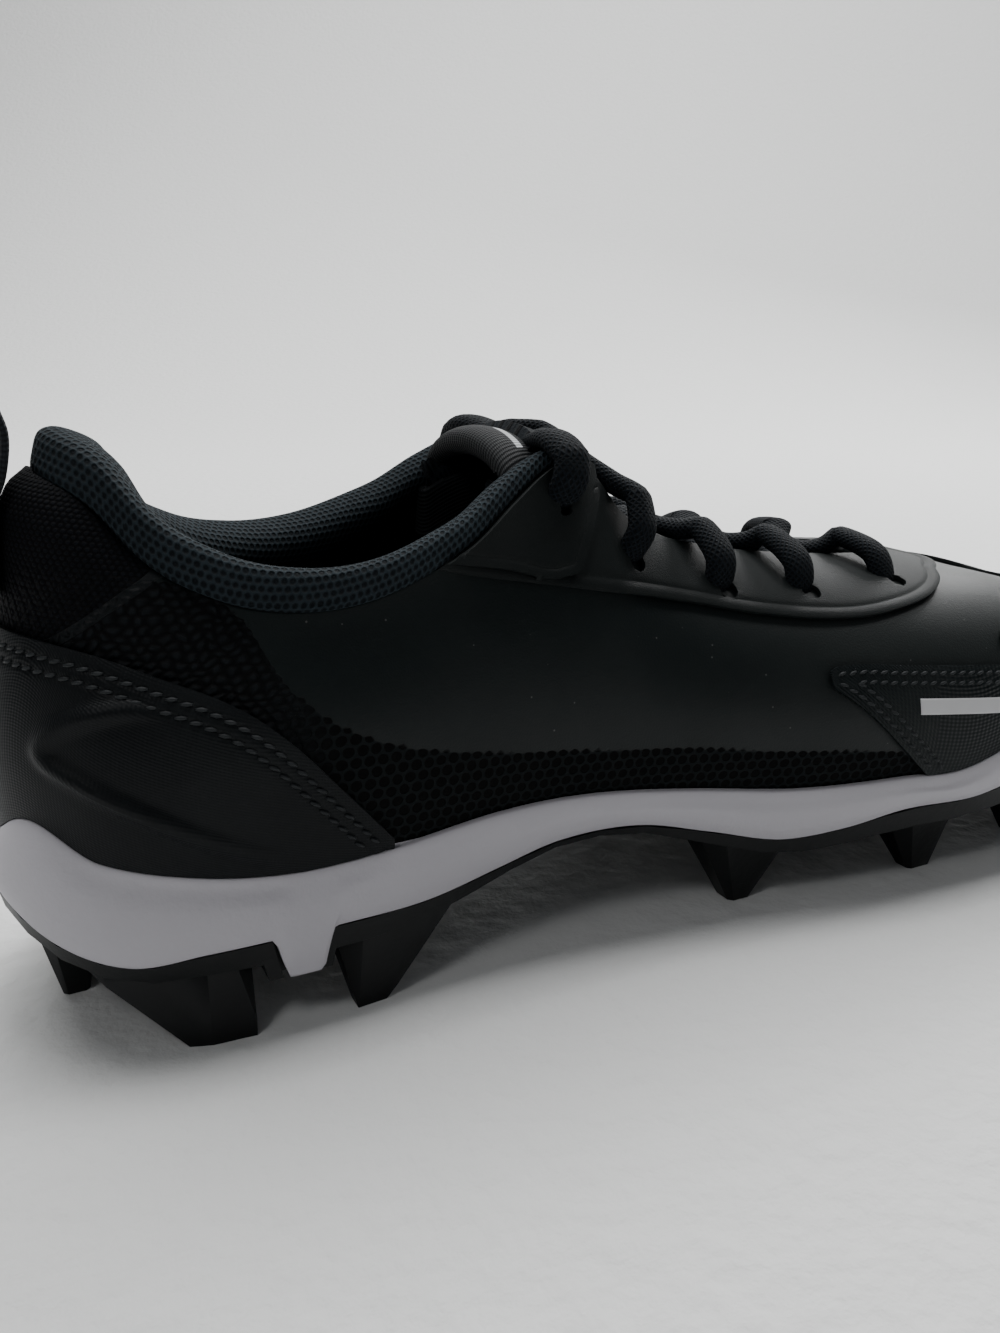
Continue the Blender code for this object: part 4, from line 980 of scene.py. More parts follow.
def inset_level(turns, low, high, edge, distance):
    """Highest level of each section that lies at a distance from an edge line; below low there is none."""
    shares = np.linspace(1, 0, 70)
    angle = np.repeat(turns, len(shares))
    down = np.repeat(high - low, len(shares)) * np.tile(1 - shares, len(turns))
    level = np.repeat(high, len(shares)) - down
    gaps = distance_to(side_point(angle, level), edge).reshape(len(turns), -1)
    level = level.reshape(len(turns), -1)
    beyond = gaps >= distance
    found = beyond.any(axis=1) & ~beyond[:, 0]
    at = np.maximum(beyond.argmax(axis=1), 1)
    pick = np.arange(len(turns))
    share = (distance - gaps[pick, at - 1]) / np.maximum(gaps[pick, at] - gaps[pick, at - 1], 1e-9)
    answer = level[pick, at - 1] + (level[pick, at] - level[pick, at - 1]) * share
    return np.where(found, answer, -1.0)


thread_look = Finish("dark_thread", (0.010, 0.0125, 0.014), 0.55, Specular_IOR_Level=0.3)
thread_look.feed(roughness=0.5 + 0.2 * thread_look.noise(400.0))
counter_thread = bmesh.new()
turns = np.linspace(-counter_turn, counter_turn, 500)
ring = np.mod(turns, 2 * math.pi)
low, high = counter_levels(ring)
edge = side_point(ring, high)
for inset in COUNTER_SEAMS:
    level = inset_level(ring, low, high, edge, inset)
    keep = level > low + 0.01
    spots, ups = on_side(ring[keep], level[keep], CLEARANCE + OVERLAY - THREAD_SINK)
    stitches(counter_thread, spots, ups)
finished("counter_stitches", counter_thread, thread_look, "black_overlay", sew=0)


# Eyestay: a moulded stay of smooth synthetic round the throat, with a rolled edge along its foot. It
# carries the punched lace holes and is one piece across the vamp.
EYESTAY_FOOT = (
    (0.262, 0.800), (0.285, 0.775), (0.330, 0.740), (0.380, 0.705), (0.460, 0.640), (0.520, 0.592),
    (0.560, 0.571), (0.600, 0.561), (0.640, 0.566), (0.680, 0.580), (0.712, 0.601), (0.735, 0.624),
    (0.748, 0.645),
)
# Share of the way round and highest level of its foot, which rounds off the front of the stay
EYESTAY_FRONT = (
    (0.40, 1.0), (0.50, 0.97), (0.62, 0.82), (0.70, 0.80), (0.735, 0.83), (0.765, 0.89), (0.782, 0.95),
    (0.791, 1.0),
)
EYESTAY_LEG_COLUMNS = 150
EYESTAY_BRIDGE_COLUMNS = 30
EYESTAY_ROWS = 46
EYESTAY_CROWN_ROWS = 24

# Lace holes: share of length and distance below the throat's edge
EYELETS = (0.358, 0.423, 0.504, 0.581, 0.680)
EYELET_INSETS = tuple(zip(EYELETS, (9.5 * MM, 11.5 * MM, 13.5 * MM, 16 * MM, 16.5 * MM)))
EYELET_RADIUS = 2.3 * MM
HOLE_TRIM = 1.6 * MM
STAY_ROUNDING = 0.35 * MM
BEAD_HEIGHT, BEAD_INSET, BEAD_WIDTH = 0.20 * MM, 1.0 * MM, 0.8 * MM
GROOVE_DEPTH, GROOVE_INSET, GROOVE_WIDTH = 0.22 * MM, 2.7 * MM, 0.6 * MM


def hole_at(share, inset, lateral):
    """Middle of a lace hole on the surface, in the shoe's frame."""
    angle = np.array([float(ring_angle(share))])
    level = level_below_edge(angle, inset)
    return skin(angle, 4 - level if lateral else level)[0] + HEEL


def punch(shape, middle, radius):
    """Cuts a round hole through a sheet and draws its edge to a circle."""
    middle = Vector(middle)
    inside = [face for face in shape.faces if (face.calc_center_median() - middle).length < radius]
    bmesh.ops.delete(shape, geom=inside, context="FACES")
    for vert in {v for edge in shape.edges if edge.is_boundary for v in edge.verts}:
        away = vert.co - middle
        if away.length < radius + HOLE_TRIM:
            vert.co = middle + away.normalized() * radius


def stay_foot(angle):
    """Level of the foot of the stay."""
    return np.minimum(level_on(EYESTAY_FOOT, angle), along(EYESTAY_FRONT, length_share(angle)))


eyestay_back = turn_at(EYESTAY_FOOT[0][0])
eyestay_tip = turn_at(EYESTAY_FOOT[-1][0])
eyestay_split = EYESTAY_LEG_COLUMNS / (EYESTAY_LEG_COLUMNS + EYESTAY_BRIDGE_COLUMNS)
eyestay_turns = np.linspace(eyestay_back, eyestay_tip, 500)
eyestay_edges = np.concatenate([
    skin(eyestay_turns, stay_foot(eyestay_turns)),
    skin(eyestay_turns, 4 - stay_foot(eyestay_turns)),
    skin(np.full(60, eyestay_tip), np.linspace(1, 3, 60)),
])


def rolled(points):
    """Lift of the rolled border and the groove inside it."""
    inside = distance_to(points, eyestay_edges)
    bead = BEAD_HEIGHT * ridge(inside, BEAD_INSET, BEAD_WIDTH)
    return bead - GROOVE_DEPTH * ridge(inside, GROOVE_INSET, GROOVE_WIDTH)


def eyestay_side(u, v, lateral):
    angle = np.interp(u, (0, eyestay_split, 1), (eyestay_back, throat_turn, eyestay_tip))
    low = stay_foot(angle)
    place = low + (1 - low) * v
    if lateral:
        place = 4 - (low + (1 - low) * (1 - v))
    return skin(angle, place, CLEARANCE + rolled(skin(angle, place)))


def eyestay_crown(u, v):
    angle = np.interp(u, (0, 1), (throat_turn, eyestay_tip))
    place = 1 + 2 * v
    return skin(angle, place, CLEARANCE + rolled(skin(angle, place)))


stay_look = Finish("smooth_stay", (0.006, 0.008, 0.008), 0.6, Specular_IOR_Level=0.13)
stay_grain = stay_look.cracks(3400.0)
stay_tone = stay_look.noise(30.0, 5.0)
stay_look.feed(
    base_color=stay_look.mix(stay_tone.step(0.3, 0.8), (0.0036, 0.0055, 0.0055), (0.0070, 0.0088, 0.0088)),
    roughness=0.52 + 0.14 * stay_tone,
    normal=stay_look.relief(stay_grain, 0.00006),
)
stay_columns = EYESTAY_LEG_COLUMNS + EYESTAY_BRIDGE_COLUMNS
stay_shape = spread("stay", stay_columns, EYESTAY_ROWS, lambda u, v: eyestay_side(u, v, False))
stay_shape = spread("stay", stay_columns, EYESTAY_ROWS, lambda u, v: eyestay_side(u, v, True), stay_shape)
stay_shape = spread("stay", EYESTAY_BRIDGE_COLUMNS, EYESTAY_CROWN_ROWS, eyestay_crown, stay_shape)
bmesh.ops.remove_doubles(stay_shape, verts=stay_shape.verts, dist=MM * 0.02)
for share in EYELETS:
    for lateral in (False, True):
        punch(stay_shape, hole_at(share, float(along(EYELET_INSETS, share)), lateral), EYELET_RADIUS)
stay_piece = finished("eyestay_sheet", stay_shape, stay_look, "black_overlay", "eyestay")
thicken(stay_piece, OVERLAY, rounding=STAY_ROUNDING)


# Lace tabs: a second layer moulded over the rear corners of the eyestay, which carries the top eyelet
# and a spare hole behind it.
TAB_FOOT = ((0.275, 0.800), (0.320, 0.765), (0.362, 0.735), (0.374, 0.750), (0.382, 0.800), (0.396, 0.895))
TAB_LIFT = 3 * CLEARANCE + OVERLAY
SPARE_HOLE = (0.333, 16 * MM)
SPARE_RADIUS = 1.8 * MM
TAB_GROOVE_DEPTH, TAB_GROOVE_INSET, TAB_GROOVE_WIDTH = 0.28 * MM, 1.9 * MM, 0.45 * MM
TAB_GRID = (140, 60)
TAB_ROUNDING = 0.4 * MM
tab_back = turn_at(TAB_FOOT[0][0])
tab_front = turn_at(TAB_FOOT[-1][0])
tab_turns = np.linspace(tab_back, tab_front, 300)


def tab_place(u, v, lateral):
    angle = tab_front - (tab_front - tab_back) * (1 - u) ** 1.5
    low = level_on(TAB_FOOT, angle)
    level = low + (1 - low) * (1 - v if lateral else v)
    place = 4 - level if lateral else level
    foot = level_on(TAB_FOOT, tab_turns)
    edge = skin(tab_turns, 4 - foot if lateral else foot)
    inside = distance_to(skin(angle, place), edge)
    groove = TAB_GROOVE_DEPTH * ridge(inside, TAB_GROOVE_INSET, TAB_GROOVE_WIDTH)
    return skin(angle, place, TAB_LIFT - groove)


for side_name, lateral in (("medial", False), ("lateral", True)):
    tab_shape = spread("tab", *TAB_GRID, lambda u, v: tab_place(u, v, lateral))
    punch(tab_shape, hole_at(EYELETS[0], EYELET_INSETS[0][1], lateral), EYELET_RADIUS)
    punch(tab_shape, hole_at(SPARE_HOLE[0], SPARE_HOLE[1], lateral), SPARE_RADIUS)
    node = f"lace_tab_{side_name}"
    tab_piece = finished(f"{node}_sheet", tab_shape, stay_look, "black_overlay", node)
    thicken(tab_piece, OVERLAY, rounding=TAB_ROUNDING)


# Forefoot panels: a wedge of ribbed synthetic sewn over each side of the ball, with two rows of stitches.
PANEL_TOP = (
    (0.558, 0.440), (0.5595, 0.455), (0.563, 0.463), (0.575, 0.466), (0.620, 0.452), (0.700, 0.425),
    (0.780, 0.400), (0.880, 0.385),
)
PANEL_FOOT = (
    (0.558, 0.436), (0.5595, 0.423), (0.563, 0.412), (0.575, 0.383), (0.632, 0.200), (0.690, 0.020),
    (0.880, 0.020),
)
PANEL_SEAMS = (1.7 * MM, 3.8 * MM)
CORNER_SLACK = 0.2 * MM
PANEL_GRID = (120, 60)
PANEL_ROUNDING = 0.3 * MM
panel_back = turn_at(PANEL_TOP[0][0], 0.5)
panel_front = turn_at(0.865, 0.4)


def panel_levels(angle):
    high = level_on(PANEL_TOP, angle)
    slant = level_on(PANEL_FOOT, angle)
    lip = level_at(angle, lip_height(angle) + CLEARANCE)
    return np.minimum(np.maximum(slant, lip), high - 0.004), high


def panel_place(u, v, lateral):
    angle = panel_back + (panel_front - panel_back) * u ** 1.7
    low, high = panel_levels(angle)
    level = low + (high - low) * (1 - v if lateral else v)
    place = 4 - level if lateral else level
    return skin(angle, place, CLEARANCE)


panel_look = rows_look(
    "ribbed_panel", (0.0045, 0.0070, 0.0076), 0.5, 0.9 * MM, 0.00009,
    slant=0.12, light=(0.008, 0.0105, 0.011),
)
panel_thread = bmesh.new()
for side_name, lateral in (("medial", False), ("lateral", True)):
    panel_shape = spread("panel", *PANEL_GRID, lambda u, v: panel_place(u, v, lateral))
    node = f"forefoot_panel_{side_name}"
    panel_piece = finished(f"{node}_sheet", panel_shape, panel_look, "black_overlay", node)
    thicken(panel_piece, OVERLAY, rounding=PANEL_ROUNDING)
    turns = np.linspace(panel_back + 0.01, panel_front, 400)
    low, high = panel_levels(turns)
    top_edge = side_point(turns, high)
    slanted = low > level_at(turns, lip_height(turns) + CLEARANCE) + 0.003
    low_edge = side_point(turns[slanted], low[slanted])
    for inset in PANEL_SEAMS:
        rows = [
            inset_level(turns, low, high, top_edge, inset),
            inset_level(turns, high, low, low_edge, inset),
        ]
        for number, level in enumerate(rows):
            other = low_edge if number == 0 else top_edge
            from_other = distance_to(side_point(turns, np.clip(level, 0, 1)), other)
            keep = (level > 0) & (from_other > inset - CORNER_SLACK)
            place = 4 - level[keep] if lateral else level[keep]
            spots = skin(turns[keep], place, CLEARANCE + OVERLAY - THREAD_SINK)
            ups = skin(turns[keep], place, MM) - skin(turns[keep], place)
            stitches(panel_thread, spots, ups / MM)
# A plain light bar is printed on each panel below the upper stitches
BAR_SHARE = (0.628, 0.705)
BAR_INSET = (7.0 * MM, 10.4 * MM)
BAR_GRID = (60, 8)
PRINT_LIFT = 0.02 * MM
PRINT_THICKNESS = 0.12 * MM
bar_turns = turn_at(BAR_SHARE[0], 0.4), turn_at(BAR_SHARE[1], 0.4)
bar_look = Finish("light_print", (0.52, 0.52, 0.53), 0.5, Specular_IOR_Level=0.3)
bar_look.feed(normal=bar_look.relief(bar_look.noise(900.0), 0.00005))
bar_line = np.linspace(bar_turns[0] - 0.02, bar_turns[1] + 0.02, 200)
bar_low, bar_high = panel_levels(bar_line)
bar_edge = side_point(bar_line, bar_high)
bar_levels = [inset_level(bar_line, bar_low, bar_high, bar_edge, inset) for inset in BAR_INSET]


def bar_place(u, v, lateral):
    angle = bar_turns[0] + (bar_turns[1] - bar_turns[0]) * u
    upper, lower = [np.interp(angle, bar_line, levels) for levels in bar_levels]
    level = lower + (upper - lower) * (1 - v if lateral else v)
    return skin(angle, 4 - level if lateral else level, CLEARANCE + OVERLAY + PRINT_LIFT)


for side_name, lateral in (("medial", False), ("lateral", True)):
    bar_shape = spread("bar", *BAR_GRID, lambda u, v: bar_place(u, v, lateral))
    bar_piece = finished(f"panel_bar_{side_name}", bar_shape, bar_look, "pale_foam")
    thicken(bar_piece, PRINT_THICKNESS)
finished("panel_stitches", panel_thread, thread_look, "black_overlay", sew=0)


# Toe cap: a moulded bumper sewn round the front of the vamp.
CAP_FOOT = ((0.712, 0.474), (0.722, 0.454), (0.760, 0.434), (0.800, 0.418), (0.870, 0.395), (1.000, 0.370))
# Share of the way round and level of its upper edge, which arches over the vamp
CAP_TOP = (
    (0.725, 0.51), (0.736, 0.56), (0.760, 0.60), (0.800, 0.67), (0.840, 0.76), (0.870, 0.86), (0.886, 0.94),
    (0.898, 1.0),
)
# From this share of the length on, the cap reaches down to the midsole
CAP_FULL = 0.885
CAP_CROWN = 0.842
CAP_SIDE_COLUMNS = 70
CAP_FRONT_COLUMNS = 60
CAP_ROWS = 40
CAP_CROWN_ROWS = 30
CAP_ROUNDING = 0.3 * MM
cap_back = turn_at(CAP_FOOT[0][0], 0.7)
cap_crown = turn_at(CAP_CROWN)
cap_full = turn_at(CAP_FULL, 0.2)
cap_split = CAP_SIDE_COLUMNS / (CAP_SIDE_COLUMNS + CAP_FRONT_COLUMNS)


def cap_side(u, v, lateral):
    angle = np.interp(u, (0, cap_split, 1), (cap_back, cap_crown, math.pi))
    high = np.where(angle < cap_crown - 1e-6, np.minimum(along(CAP_TOP, length_share(angle)), 1.0), 1.0)
    lip = level_at(angle, lip_height(angle) + CLEARANCE)
    low = np.where(angle > cap_full, lip, np.maximum(level_on(CAP_FOOT, angle), lip))
    low = np.minimum(low, high - 0.004)
    level = low + (high - low) * (1 - v if lateral else v)
    return skin(angle, 4 - level if lateral else level, CLEARANCE)


def cap_over(u, v):
    angle = cap_crown + (math.pi - cap_crown) * u
    return skin(angle, 1 + 2 * v, CLEARANCE)


cap_columns = CAP_SIDE_COLUMNS + CAP_FRONT_COLUMNS
cap_shape = spread("cap", cap_columns, CAP_ROWS, lambda u, v: cap_side(u, v, False))
cap_shape = spread("cap", cap_columns, CAP_ROWS, lambda u, v: cap_side(u, v, True), cap_shape)
cap_shape = spread("cap", CAP_FRONT_COLUMNS, CAP_CROWN_ROWS, cap_over, cap_shape)
cap_piece = finished("toe_cap_cup", cap_shape, stay_look, "black_overlay", "toe_cap")
thicken(cap_piece, OVERLAY, rounding=CAP_ROUNDING)


# Collar: foam wrapped in open spacer knit, sewn to the top edge of the upper and turned inside.
COLLAR_RISE = 8.5 * MM
COLLAR_DEPTH = 9.0 * MM
COLLAR_OVERLAP = 13 * MM
COLLAR_END = 0.365
# The padding at the back of the heel leans forward and sinks a little
COLLAR_LEAN = np.array((2.0, 0.0, -1.6)) * MM
COLLAR_LEAN_TURN = 0.75
COLLAR_GRID = (300, 80)
COLLAR_PROFILE = (
    (-1.00, -0.02), (0.00, -0.02), (0.03, 0.35), (0.45, 0.42), (0.88, 0.10), (1.00, -0.30),
    (0.75, -0.85), (0.10, -1.06), (-0.60, -0.80), (-1.00, -0.20),
)
COLLAR_FADE = ((0.0, 1.0), (0.15, 0.88), (0.25, 0.72), (0.30, 0.58), (0.37, 0.38))
collar_section = int(np.abs(length_share(section_turns) - COLLAR_END).argmin())
collar_turn = section_turns[collar_section]


def collar_point(angle, up, out):
    """Points of the padded roll: up is past the top edge in rises, or down the wall in overlaps; out is
    in depths, from the inside of the wall when below the edge."""
    fade = along(COLLAR_FADE, length_share(angle))
    if up <= 0:
        level = level_below_edge(angle, -up * COLLAR_OVERLAP * fade)
        return side_skin(angle, level, -WALL - CLEARANCE + min(out, 0) * COLLAR_DEPTH * fade)
    edge = edge_point(angle)
    climb = edge - edge_handle(angle, edge, wide_point(angle))
    climb /= np.linalg.norm(climb, axis=-1, keepdims=True)
    normal = outward(side_point, angle, np.ones(np.shape(angle)))
    base = 0.0 if out >= 0 else out * (WALL + CLEARANCE)
    reach = out * COLLAR_DEPTH * (0.35 if out >= 0 else fade)
    rise = (CLEARANCE + up * COLLAR_RISE * fade)[:, None]
    return edge + climb * rise + normal * np.reshape(base + reach, (-1, 1))


def collar_place(u, v):
    angle = np.mod((u - 0.5) * 2 * collar_turn, 2 * math.pi)
    profile = [collar_point(angle, up, out) for up, out in COLLAR_PROFILE]
    rings = np.asarray([*profile, profile[0]])
    spot = through(rings, v, sharp=(0, 1, 10))
    turn = np.minimum(angle, 2 * math.pi - angle)
    return spot + np.exp(-(turn / COLLAR_LEAN_TURN) ** 2)[:, None] * COLLAR_LEAN


def knit_look(name, dark, light, pitch, depth, roughness=0.85):
    """Open spacer knit: staggered small holes between raised threads, a little uneven."""
    look = Finish(name, dark, roughness, Specular_IOR_Level=0.12)
    cells = lattice(look, pitch, 1.15)
    thread = (cells + (look.noise(700.0) - 0.5) * 0.25).step(0.16, 0.46)
    tone = look.noise(30.0, 4.0)
    look.feed(
        base_color=look.mix(thread * (0.35 + tone), dark, light),
        roughness=roughness + 0.1 * (tone - 0.5),
        normal=look.relief(thread + look.noise(1800.0) * 0.3, depth),
    )
    return look


collar_look = knit_look("collar_knit", (0.0028, 0.0045, 0.0060), (0.0165, 0.0245, 0.0300), 1.4 * MM, 0.0005)
collar_shape = spread("collar", *COLLAR_GRID, collar_place)
collar_piece = finished("collar_roll", collar_shape, collar_look, "navy_knit", "collar", sew=MM * 0.05)


# Tongue: padded knit under the throat, with a band of woven webbing folded over its top edge.
TONGUE_TOP = 0.325
TONGUE_TOE = 0.80
TONGUE_THICKNESS = 4.5 * MM
TONGUE_SIDE = 13 * MM
TONGUE_SWELL = 8.0 * MM
TONGUE_SWELL_SHARE = 0.12
TONGUE_ROUNDING = 1.2 * MM
TONGUE_GRID = (120, 60)
COLLAR_RUNOUT = 0.03
tongue_first = section_turns[int(np.abs(length_share(section_turns) - TONGUE_TOP).argmin())]
tongue_last = section_turns[int(np.abs(length_share(section_turns) - TONGUE_TOE).argmin())]


def tongue_depth(angle):
    """How far under the skin the tongue lies, below the collar's padding near its end."""
    share = length_share(angle)
    past = np.clip(1.5 * (COLLAR_END + COLLAR_RUNOUT - share) / COLLAR_RUNOUT, 0, 1)
    return WALL + 2 * CLEARANCE + COLLAR_DEPTH * along(COLLAR_FADE, share) * past


def tongue_places(angle, v):
    low = level_below_edge(angle, TONGUE_SIDE)
    return low + (4 - 2 * low) * v


def tongue_swell(u, v):
    """The padded end of the tongue stands up behind the top lace."""
    fade = np.clip(1 - u / TONGUE_SWELL_SHARE, 0, 1)
    return TONGUE_SWELL * fade * fade * (3 - 2 * fade) * np.sin(np.clip(v, 0, 1) * math.pi) ** 0.7


def tongue_place(u, v):
    angle = tongue_first + (tongue_last - tongue_first) * u
    lift = tongue_swell(u, v)
    return skin(angle, tongue_places(angle, v), lift - CLEARANCE - tongue_depth(angle))


tongue_look = knit_look("tongue_knit", (0.0008, 0.0012, 0.0018), (0.0065, 0.0090, 0.0115), 1.9 * MM, 0.0005)
tongue_shape = spread("tongue", *TONGUE_GRID, tongue_place)
tongue_piece = finished("tongue_pad", tongue_shape, tongue_look, "navy_knit", "tongue")
thicken(tongue_piece, TONGUE_THICKNESS, offset=-1.0, rounding=TONGUE_ROUNDING)


# Laces: one oval woven lace, run down into the holes from above and across the tongue to the hole behind
# on the other side, where it comes from under the stay. Its ends stop at the top holes.
LACE_WIDTH = 7.8 * MM
LACE_THICKNESS = 4.6 * MM
LACE_GRID = (120, 24)
PLAIT_PITCH = 1.25 * MM
LACE_PUFF = 1.4 * MM
# Where a lace rises out of its hole: share of its run
PUFF_SHARE, PUFF_WIDTH = 0.085, 0.055
DIVE = 9 * MM
DIVE_SHARE = 0.021
# The middle of the top lace lies this angle further forward
TOP_LACE_SHIFT = 0.03
CROSSING_INSET = 0.2
# How far the laces lie in the throat: share of length, share of the step from the stay to the tongue
LACE_SINK = ((0.35, 1.45), (0.43, 1.35), (0.52, 1.25), (0.75, 1.15))


def lace_route(start_share, end_share, under, over_other=0.0, mirrored=False):
    """Route from a hole on one side across the tongue, as points and outward normals. It ends in the hole
    opposite, or dips under the stay's edge there; over_other lifts it over the run that it crosses."""
    start = float(ring_angle(start_share))
    end = float(ring_angle(end_share))
    start_level = float(level_below_edge(np.array([start]), along(EYELET_INSETS, start_share))[0])
    end_level = float(level_below_edge(np.array([end]), along(EYELET_INSETS, end_share))[0])
    t = np.linspace(0, 1, 400)
    place = start_level + (4 - end_level - start_level) * t
    angle = start + (end - start) * t
    if not under:
        angle = angle + TOP_LACE_SHIFT * np.sin(np.pi * t) ** 2
    share = length_share(angle)
    tabs = np.clip(1.5 * (TAB_FOOT[-1][0] + COLLAR_RUNOUT - share) / COLLAR_RUNOUT, 0, 1)
    over_stay = 3 * CLEARANCE + OVERLAY + tabs * (OVERLAY + 2 * CLEARANCE)
    over_tongue = CLEARANCE - tongue_depth(angle)
    crossing = np.where((place > 1) & (place < 3), np.sin(np.pi * (np.clip(place, 1, 3) - 1) / 2), 0)
    height = over_stay + (over_tongue - over_stay) * crossing * along(LACE_SINK, share) + LACE_THICKNESS / 2
    if under and not mirrored:
        height += LACE_PUFF * ridge(t, PUFF_SHARE, PUFF_WIDTH)
    height -= DIVE * ridge(t, 0, DIVE_SHARE)
    height += over_other * ridge(place, 2, 0.35)
    if under:
        height -= DIVE * np.clip((place - 2.35) / 0.6, 0, 1) ** 1.5
    else:
        height -= DIVE * ridge(t, 1, DIVE_SHARE)
    keep = place < (2.98 if under else 9)
    if mirrored:
        place = 4 - place
    points = skin(angle, place, height)
    ups = skin(angle, place, MM) - skin(angle, place)
    return points[keep], ups[keep] / MM


def lace_piece(name, route, look, slot, *nodes):
    points, ups = route
    steps = np.concatenate(([0.0], np.linalg.norm(np.diff(points, axis=0), axis=1).cumsum()))
    slope = np.gradient(points, axis=0)

    def around(u, v):
        at = u * steps[-1]
        spot = np.stack([np.interp(at, steps, points[:, k]) for k in range(3)], axis=-1)
        up = np.stack([np.interp(at, steps, ups[:, k]) for k in range(3)], axis=-1)
        run = np.stack([np.interp(at, steps, slope[:, k]) for k in range(3)], axis=-1)
        run /= np.linalg.norm(run, axis=-1, keepdims=True)
        side = np.cross(run, up)
        side /= np.linalg.norm(side, axis=-1, keepdims=True)
        up = np.cross(side, run)
        turn = 2 * math.pi * v
        across = np.sign(np.cos(turn)) * np.abs(np.cos(turn)) ** 0.8 * LACE_WIDTH / 2
        above = np.sin(turn) * LACE_THICKNESS / 2
        return spot + side * across[:, None] + up * above[:, None]

    shape = spread(name, *LACE_GRID, around)
    bmesh.ops.remove_doubles(shape, verts=shape.verts, dist=MM * 0.01)
    bmesh.ops.holes_fill(shape, edges=[edge for edge in shape.edges if edge.is_boundary], sides=60)
    bmesh.ops.recalc_face_normals(shape, faces=shape.faces)
    return finished(name, shape, look, slot, *nodes, sew=0)


lace_look = Finish("lace_weave", (0.003, 0.0045, 0.007), 0.8, Specular_IOR_Level=0.12)
lace_u, lace_v = lace_look.weave()
plait_a = ((lace_u + lace_v * 0.9) * (2 * math.pi / PLAIT_PITCH)).wave()
plait_b = ((lace_u - lace_v * 0.9) * (2 * math.pi / PLAIT_PITCH)).wave()
plait = plait_a.above(plait_b)
lace_look.feed(
    base_color=lace_look.mix(plait.step(-0.2, 0.9), (0.0010, 0.0017, 0.0026), (0.0040, 0.0064, 0.0092)),
    normal=lace_look.relief(plait, 0.00018),
)
lace_piece("lace_top", lace_route(EYELETS[0], EYELETS[0], False), lace_look, "lace_weave", "lace_top_bar")
for number, (rear, front) in enumerate(zip(EYELETS, EYELETS[1:]), start=1):
    rear = rear + (front - rear) * CROSSING_INSET
    over = lace_route(front, rear, True, over_other=LACE_THICKNESS * 0.5)
    beneath = lace_route(front, rear, True, over_other=-LACE_THICKNESS * 0.15, mirrored=True)
    lace_piece(f"lace_run_{number}_medial", over, lace_look, "lace_weave", f"lace_crossing_{number}")
    lace_piece(f"lace_run_{number}_lateral", beneath, lace_look, "lace_weave")


# Pull loop: woven webbing sewn to the back of the heel, which stands up in a loop behind the collar.
LOOP_WIDTH = 14 * MM
LOOP_STRAP = 1.5 * MM
LOOP_RISE = 13 * MM
LOOP_REACH = 9 * MM
LOOP_FOOT = 1.5 * MM
LOOP_FLARE = 8 * MM
LOOP_GRID = (180, 32)
LOOP_ROUTE = ((0.04, 0.0), (0.30, 0.45), (0.72, 0.50), (1.0, 0.05), (1.0, -0.75))

heel_edge = edge_point(np.zeros(1))[0]
strap_x = heel_edge[0] - COLLAR_DEPTH * 0.15 - CLEARANCE - LOOP_STRAP
loop_top = heel_edge[2] + COLLAR_RISE
loop_levels = np.array((0.70, 0.80, 0.90))
loop_lift = CLEARANCE + LOOP_STRAP / 2 + heel_pad(0.0, loop_levels)
loop_line = side_skin(0.0, loop_levels, loop_lift)[:, [0, 2]].tolist()
loop_foot = loop_line[0]
loop_line.append((strap_x - HEEL_PAD * 0.3, heel_edge[2] - 1 * MM))
loop_line.append((strap_x, heel_edge[2] + COLLAR_RISE * 0.55))
loop_line += [(strap_x - back * LOOP_REACH, loop_top + rise * LOOP_RISE) for back, rise in LOOP_ROUTE]
loop_back = loop_foot[0] + 0.1 * (strap_x - LOOP_REACH - loop_foot[0])
loop_line.append((loop_back - 3.2 * LOOP_STRAP, loop_foot[1] + LOOP_FLARE))
loop_line.append((loop_foot[0] - 1.6 * LOOP_STRAP, loop_foot[1] + LOOP_FOOT))
loop_line = dense(loop_line, 400)
loop_points = np.stack((loop_line[:, 0], 0 * loop_line[:, 0], loop_line[:, 1]), axis=-1)
loop_steps = np.concatenate(([0.0], np.linalg.norm(np.diff(loop_points, axis=0), axis=1).cumsum()))
loop_slope = np.gradient(loop_points, axis=0)


def loop_place(u, v):
    at = u * loop_steps[-1]
    spot = np.stack([np.interp(at, loop_steps, loop_points[:, k]) for k in range(3)], axis=-1)
    run = np.stack([np.interp(at, loop_steps, loop_slope[:, k]) for k in range(3)], axis=-1)
    run /= np.linalg.norm(run, axis=-1, keepdims=True)
    out = np.stack((-run[:, 2], 0 * run[:, 0], run[:, 0]), axis=-1)
    turn = 2 * math.pi * v
    across = np.sign(np.cos(turn)) * np.abs(np.cos(turn)) ** 0.25 * LOOP_WIDTH / 2
    above = np.sign(np.sin(turn)) * np.abs(np.sin(turn)) ** 0.6 * LOOP_STRAP / 2
    spot = spot + out * above[:, None]
    spot[:, 1] += across
    return spot


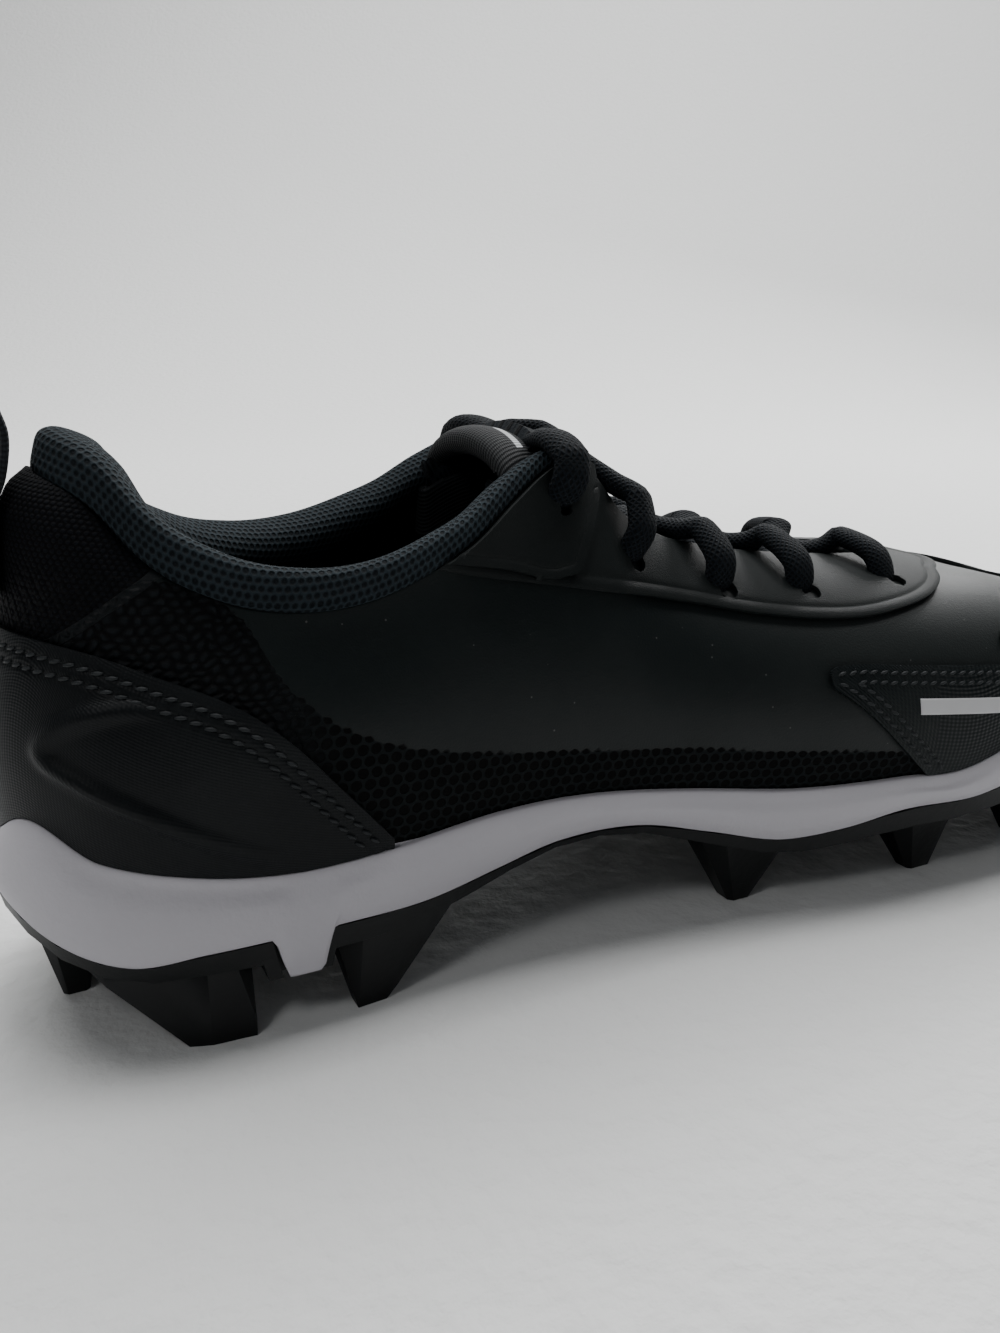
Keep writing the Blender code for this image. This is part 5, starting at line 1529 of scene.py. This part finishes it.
def webbing_look(name, dark, light, dash=None):
    """Ribbed woven band; a dash of pale threads may be woven into its middle."""
    look = Finish(name, dark, 0.8, Specular_IOR_Level=0.25)
    u, v = look.weave()
    ribs = (u * (2 * math.pi / (0.9 * MM))).wave() * 0.5 + 0.5
    threads = (v * (2 * math.pi / (0.5 * MM))).wave() * 0.5 + 0.5
    colour = look.mix(ribs * (0.6 + 0.4 * threads), dark, light)
    if dash:
        (start, end), (low, high) = dash
        woven = u.step(start, start + 0.3 * MM) * (1 - u.step(end, end + 0.3 * MM))
        woven = woven * v.step(low, low + 0.3 * MM) * (1 - v.step(high, high + 0.3 * MM))
        colour = look.mix(woven, colour, (0.42, 0.43, 0.44))
    look.feed(base_color=colour, normal=look.relief(ribs * 0.8 + threads * 0.3, 0.00022))
    return look


loop_look = webbing_look("loop_webbing", (0.003, 0.004, 0.005), (0.014, 0.017, 0.021))
loop_shape = spread("pull_loop", *LOOP_GRID, loop_place)
bmesh.ops.remove_doubles(loop_shape, verts=loop_shape.verts, dist=MM * 0.01)
bmesh.ops.holes_fill(loop_shape, edges=[edge for edge in loop_shape.edges if edge.is_boundary], sides=80)
bmesh.ops.recalc_face_normals(loop_shape, faces=loop_shape.faces)
finished("pull_loop_strap", loop_shape, loop_look, "lace_weave", "pull_loop", sew=0)


# Tongue band: the same webbing folded over the top edge of the tongue, with a plain dash woven in.
BAND_SHARE = 0.085
BAND_LIFT = 0.5 * MM
BAND_GRID = (90, 40)
tongue_edge_turn = (tongue_last - tongue_first) * 0.02


def band_place(u, v):
    """Across the tongue with u, and with v from its outer face over the edge to its inner face."""
    across = 0.02 + 0.96 * u
    forward = np.where(v < 0.4, (0.4 - v) / 0.4, np.clip((v - 0.6) / 0.4, 0, 1)) * BAND_SHARE
    here = tongue_first + (tongue_last - tongue_first) * forward
    place = tongue_places(here, across)
    depth = tongue_swell(forward, across) - CLEARANCE - tongue_depth(here)
    top = skin(here, place, BAND_LIFT + depth)
    low = skin(here, place, depth - BAND_LIFT - TONGUE_THICKNESS)
    ahead = skin(here + tongue_edge_turn, place, depth) - skin(here, place, depth)
    ahead /= np.linalg.norm(ahead, axis=-1, keepdims=True)
    middle = (top + low) / 2
    half = (top - low) / 2
    turn = np.clip((v - 0.4) / 0.2, 0, 1) * math.pi
    back = -np.sin(turn) * np.linalg.norm(half, axis=-1) * 0.8
    return middle + half * np.cos(turn)[:, None] + ahead * back[:, None]


band_look = webbing_look(
    "tongue_webbing", (0.0020, 0.0026, 0.0033), (0.0065, 0.0085, 0.0105),
    dash=((18 * MM, 29 * MM), (4.8 * MM, 6.6 * MM)),
)
band_shape = spread("tongue_band", *BAND_GRID, band_place)
bmesh.ops.recalc_face_normals(band_shape, faces=band_shape.faces)
finished("tongue_band", band_shape, band_look, "lace_weave")


# Insole: a dark fabric sock liner that lies in the tray.
INSOLE_THICKNESS = 4 * MM
INSOLE_DISH = 1.0 * MM
INSOLE_GRID = (200, 16)


def insole_place(u, v):
    angle = ring_turn(u)
    rim = side_skin(angle, 0.05, -WALL - 5 * CLEARANCE)
    rim[:, 2] = feather_point(angle)[:, 2] + INSOLE_THICKNESS
    across = side_skin(2 * math.pi - angle, 0.05, -WALL - 5 * CLEARANCE)
    across[:, 2] = rim[:, 2]
    spot = rim + (rim + across - 2 * rim) / 2 * v[:, None]
    spot[:, 2] -= INSOLE_DISH * np.sin(np.clip(v, 0, 1) * math.pi / 2)
    return spot


lining_look = Finish("sock_liner", (0.006, 0.0065, 0.0075), 0.9, Specular_IOR_Level=0.2)
lining_weave = lattice(lining_look, 1.4 * MM)
lining_look.feed(
    base_color=lining_look.mix(lining_weave, (0.010, 0.011, 0.013), (0.004, 0.0045, 0.005)),
    normal=lining_look.relief(lining_weave, -0.0003),
)
insole_shape = spread("insole", *INSOLE_GRID, insole_place)
insole_piece = finished("sock_liner", insole_shape, lining_look, "grey_lining", "insole", sew=MM * 0.05)
thicken(insole_piece, INSOLE_THICKNESS, offset=-1.0)
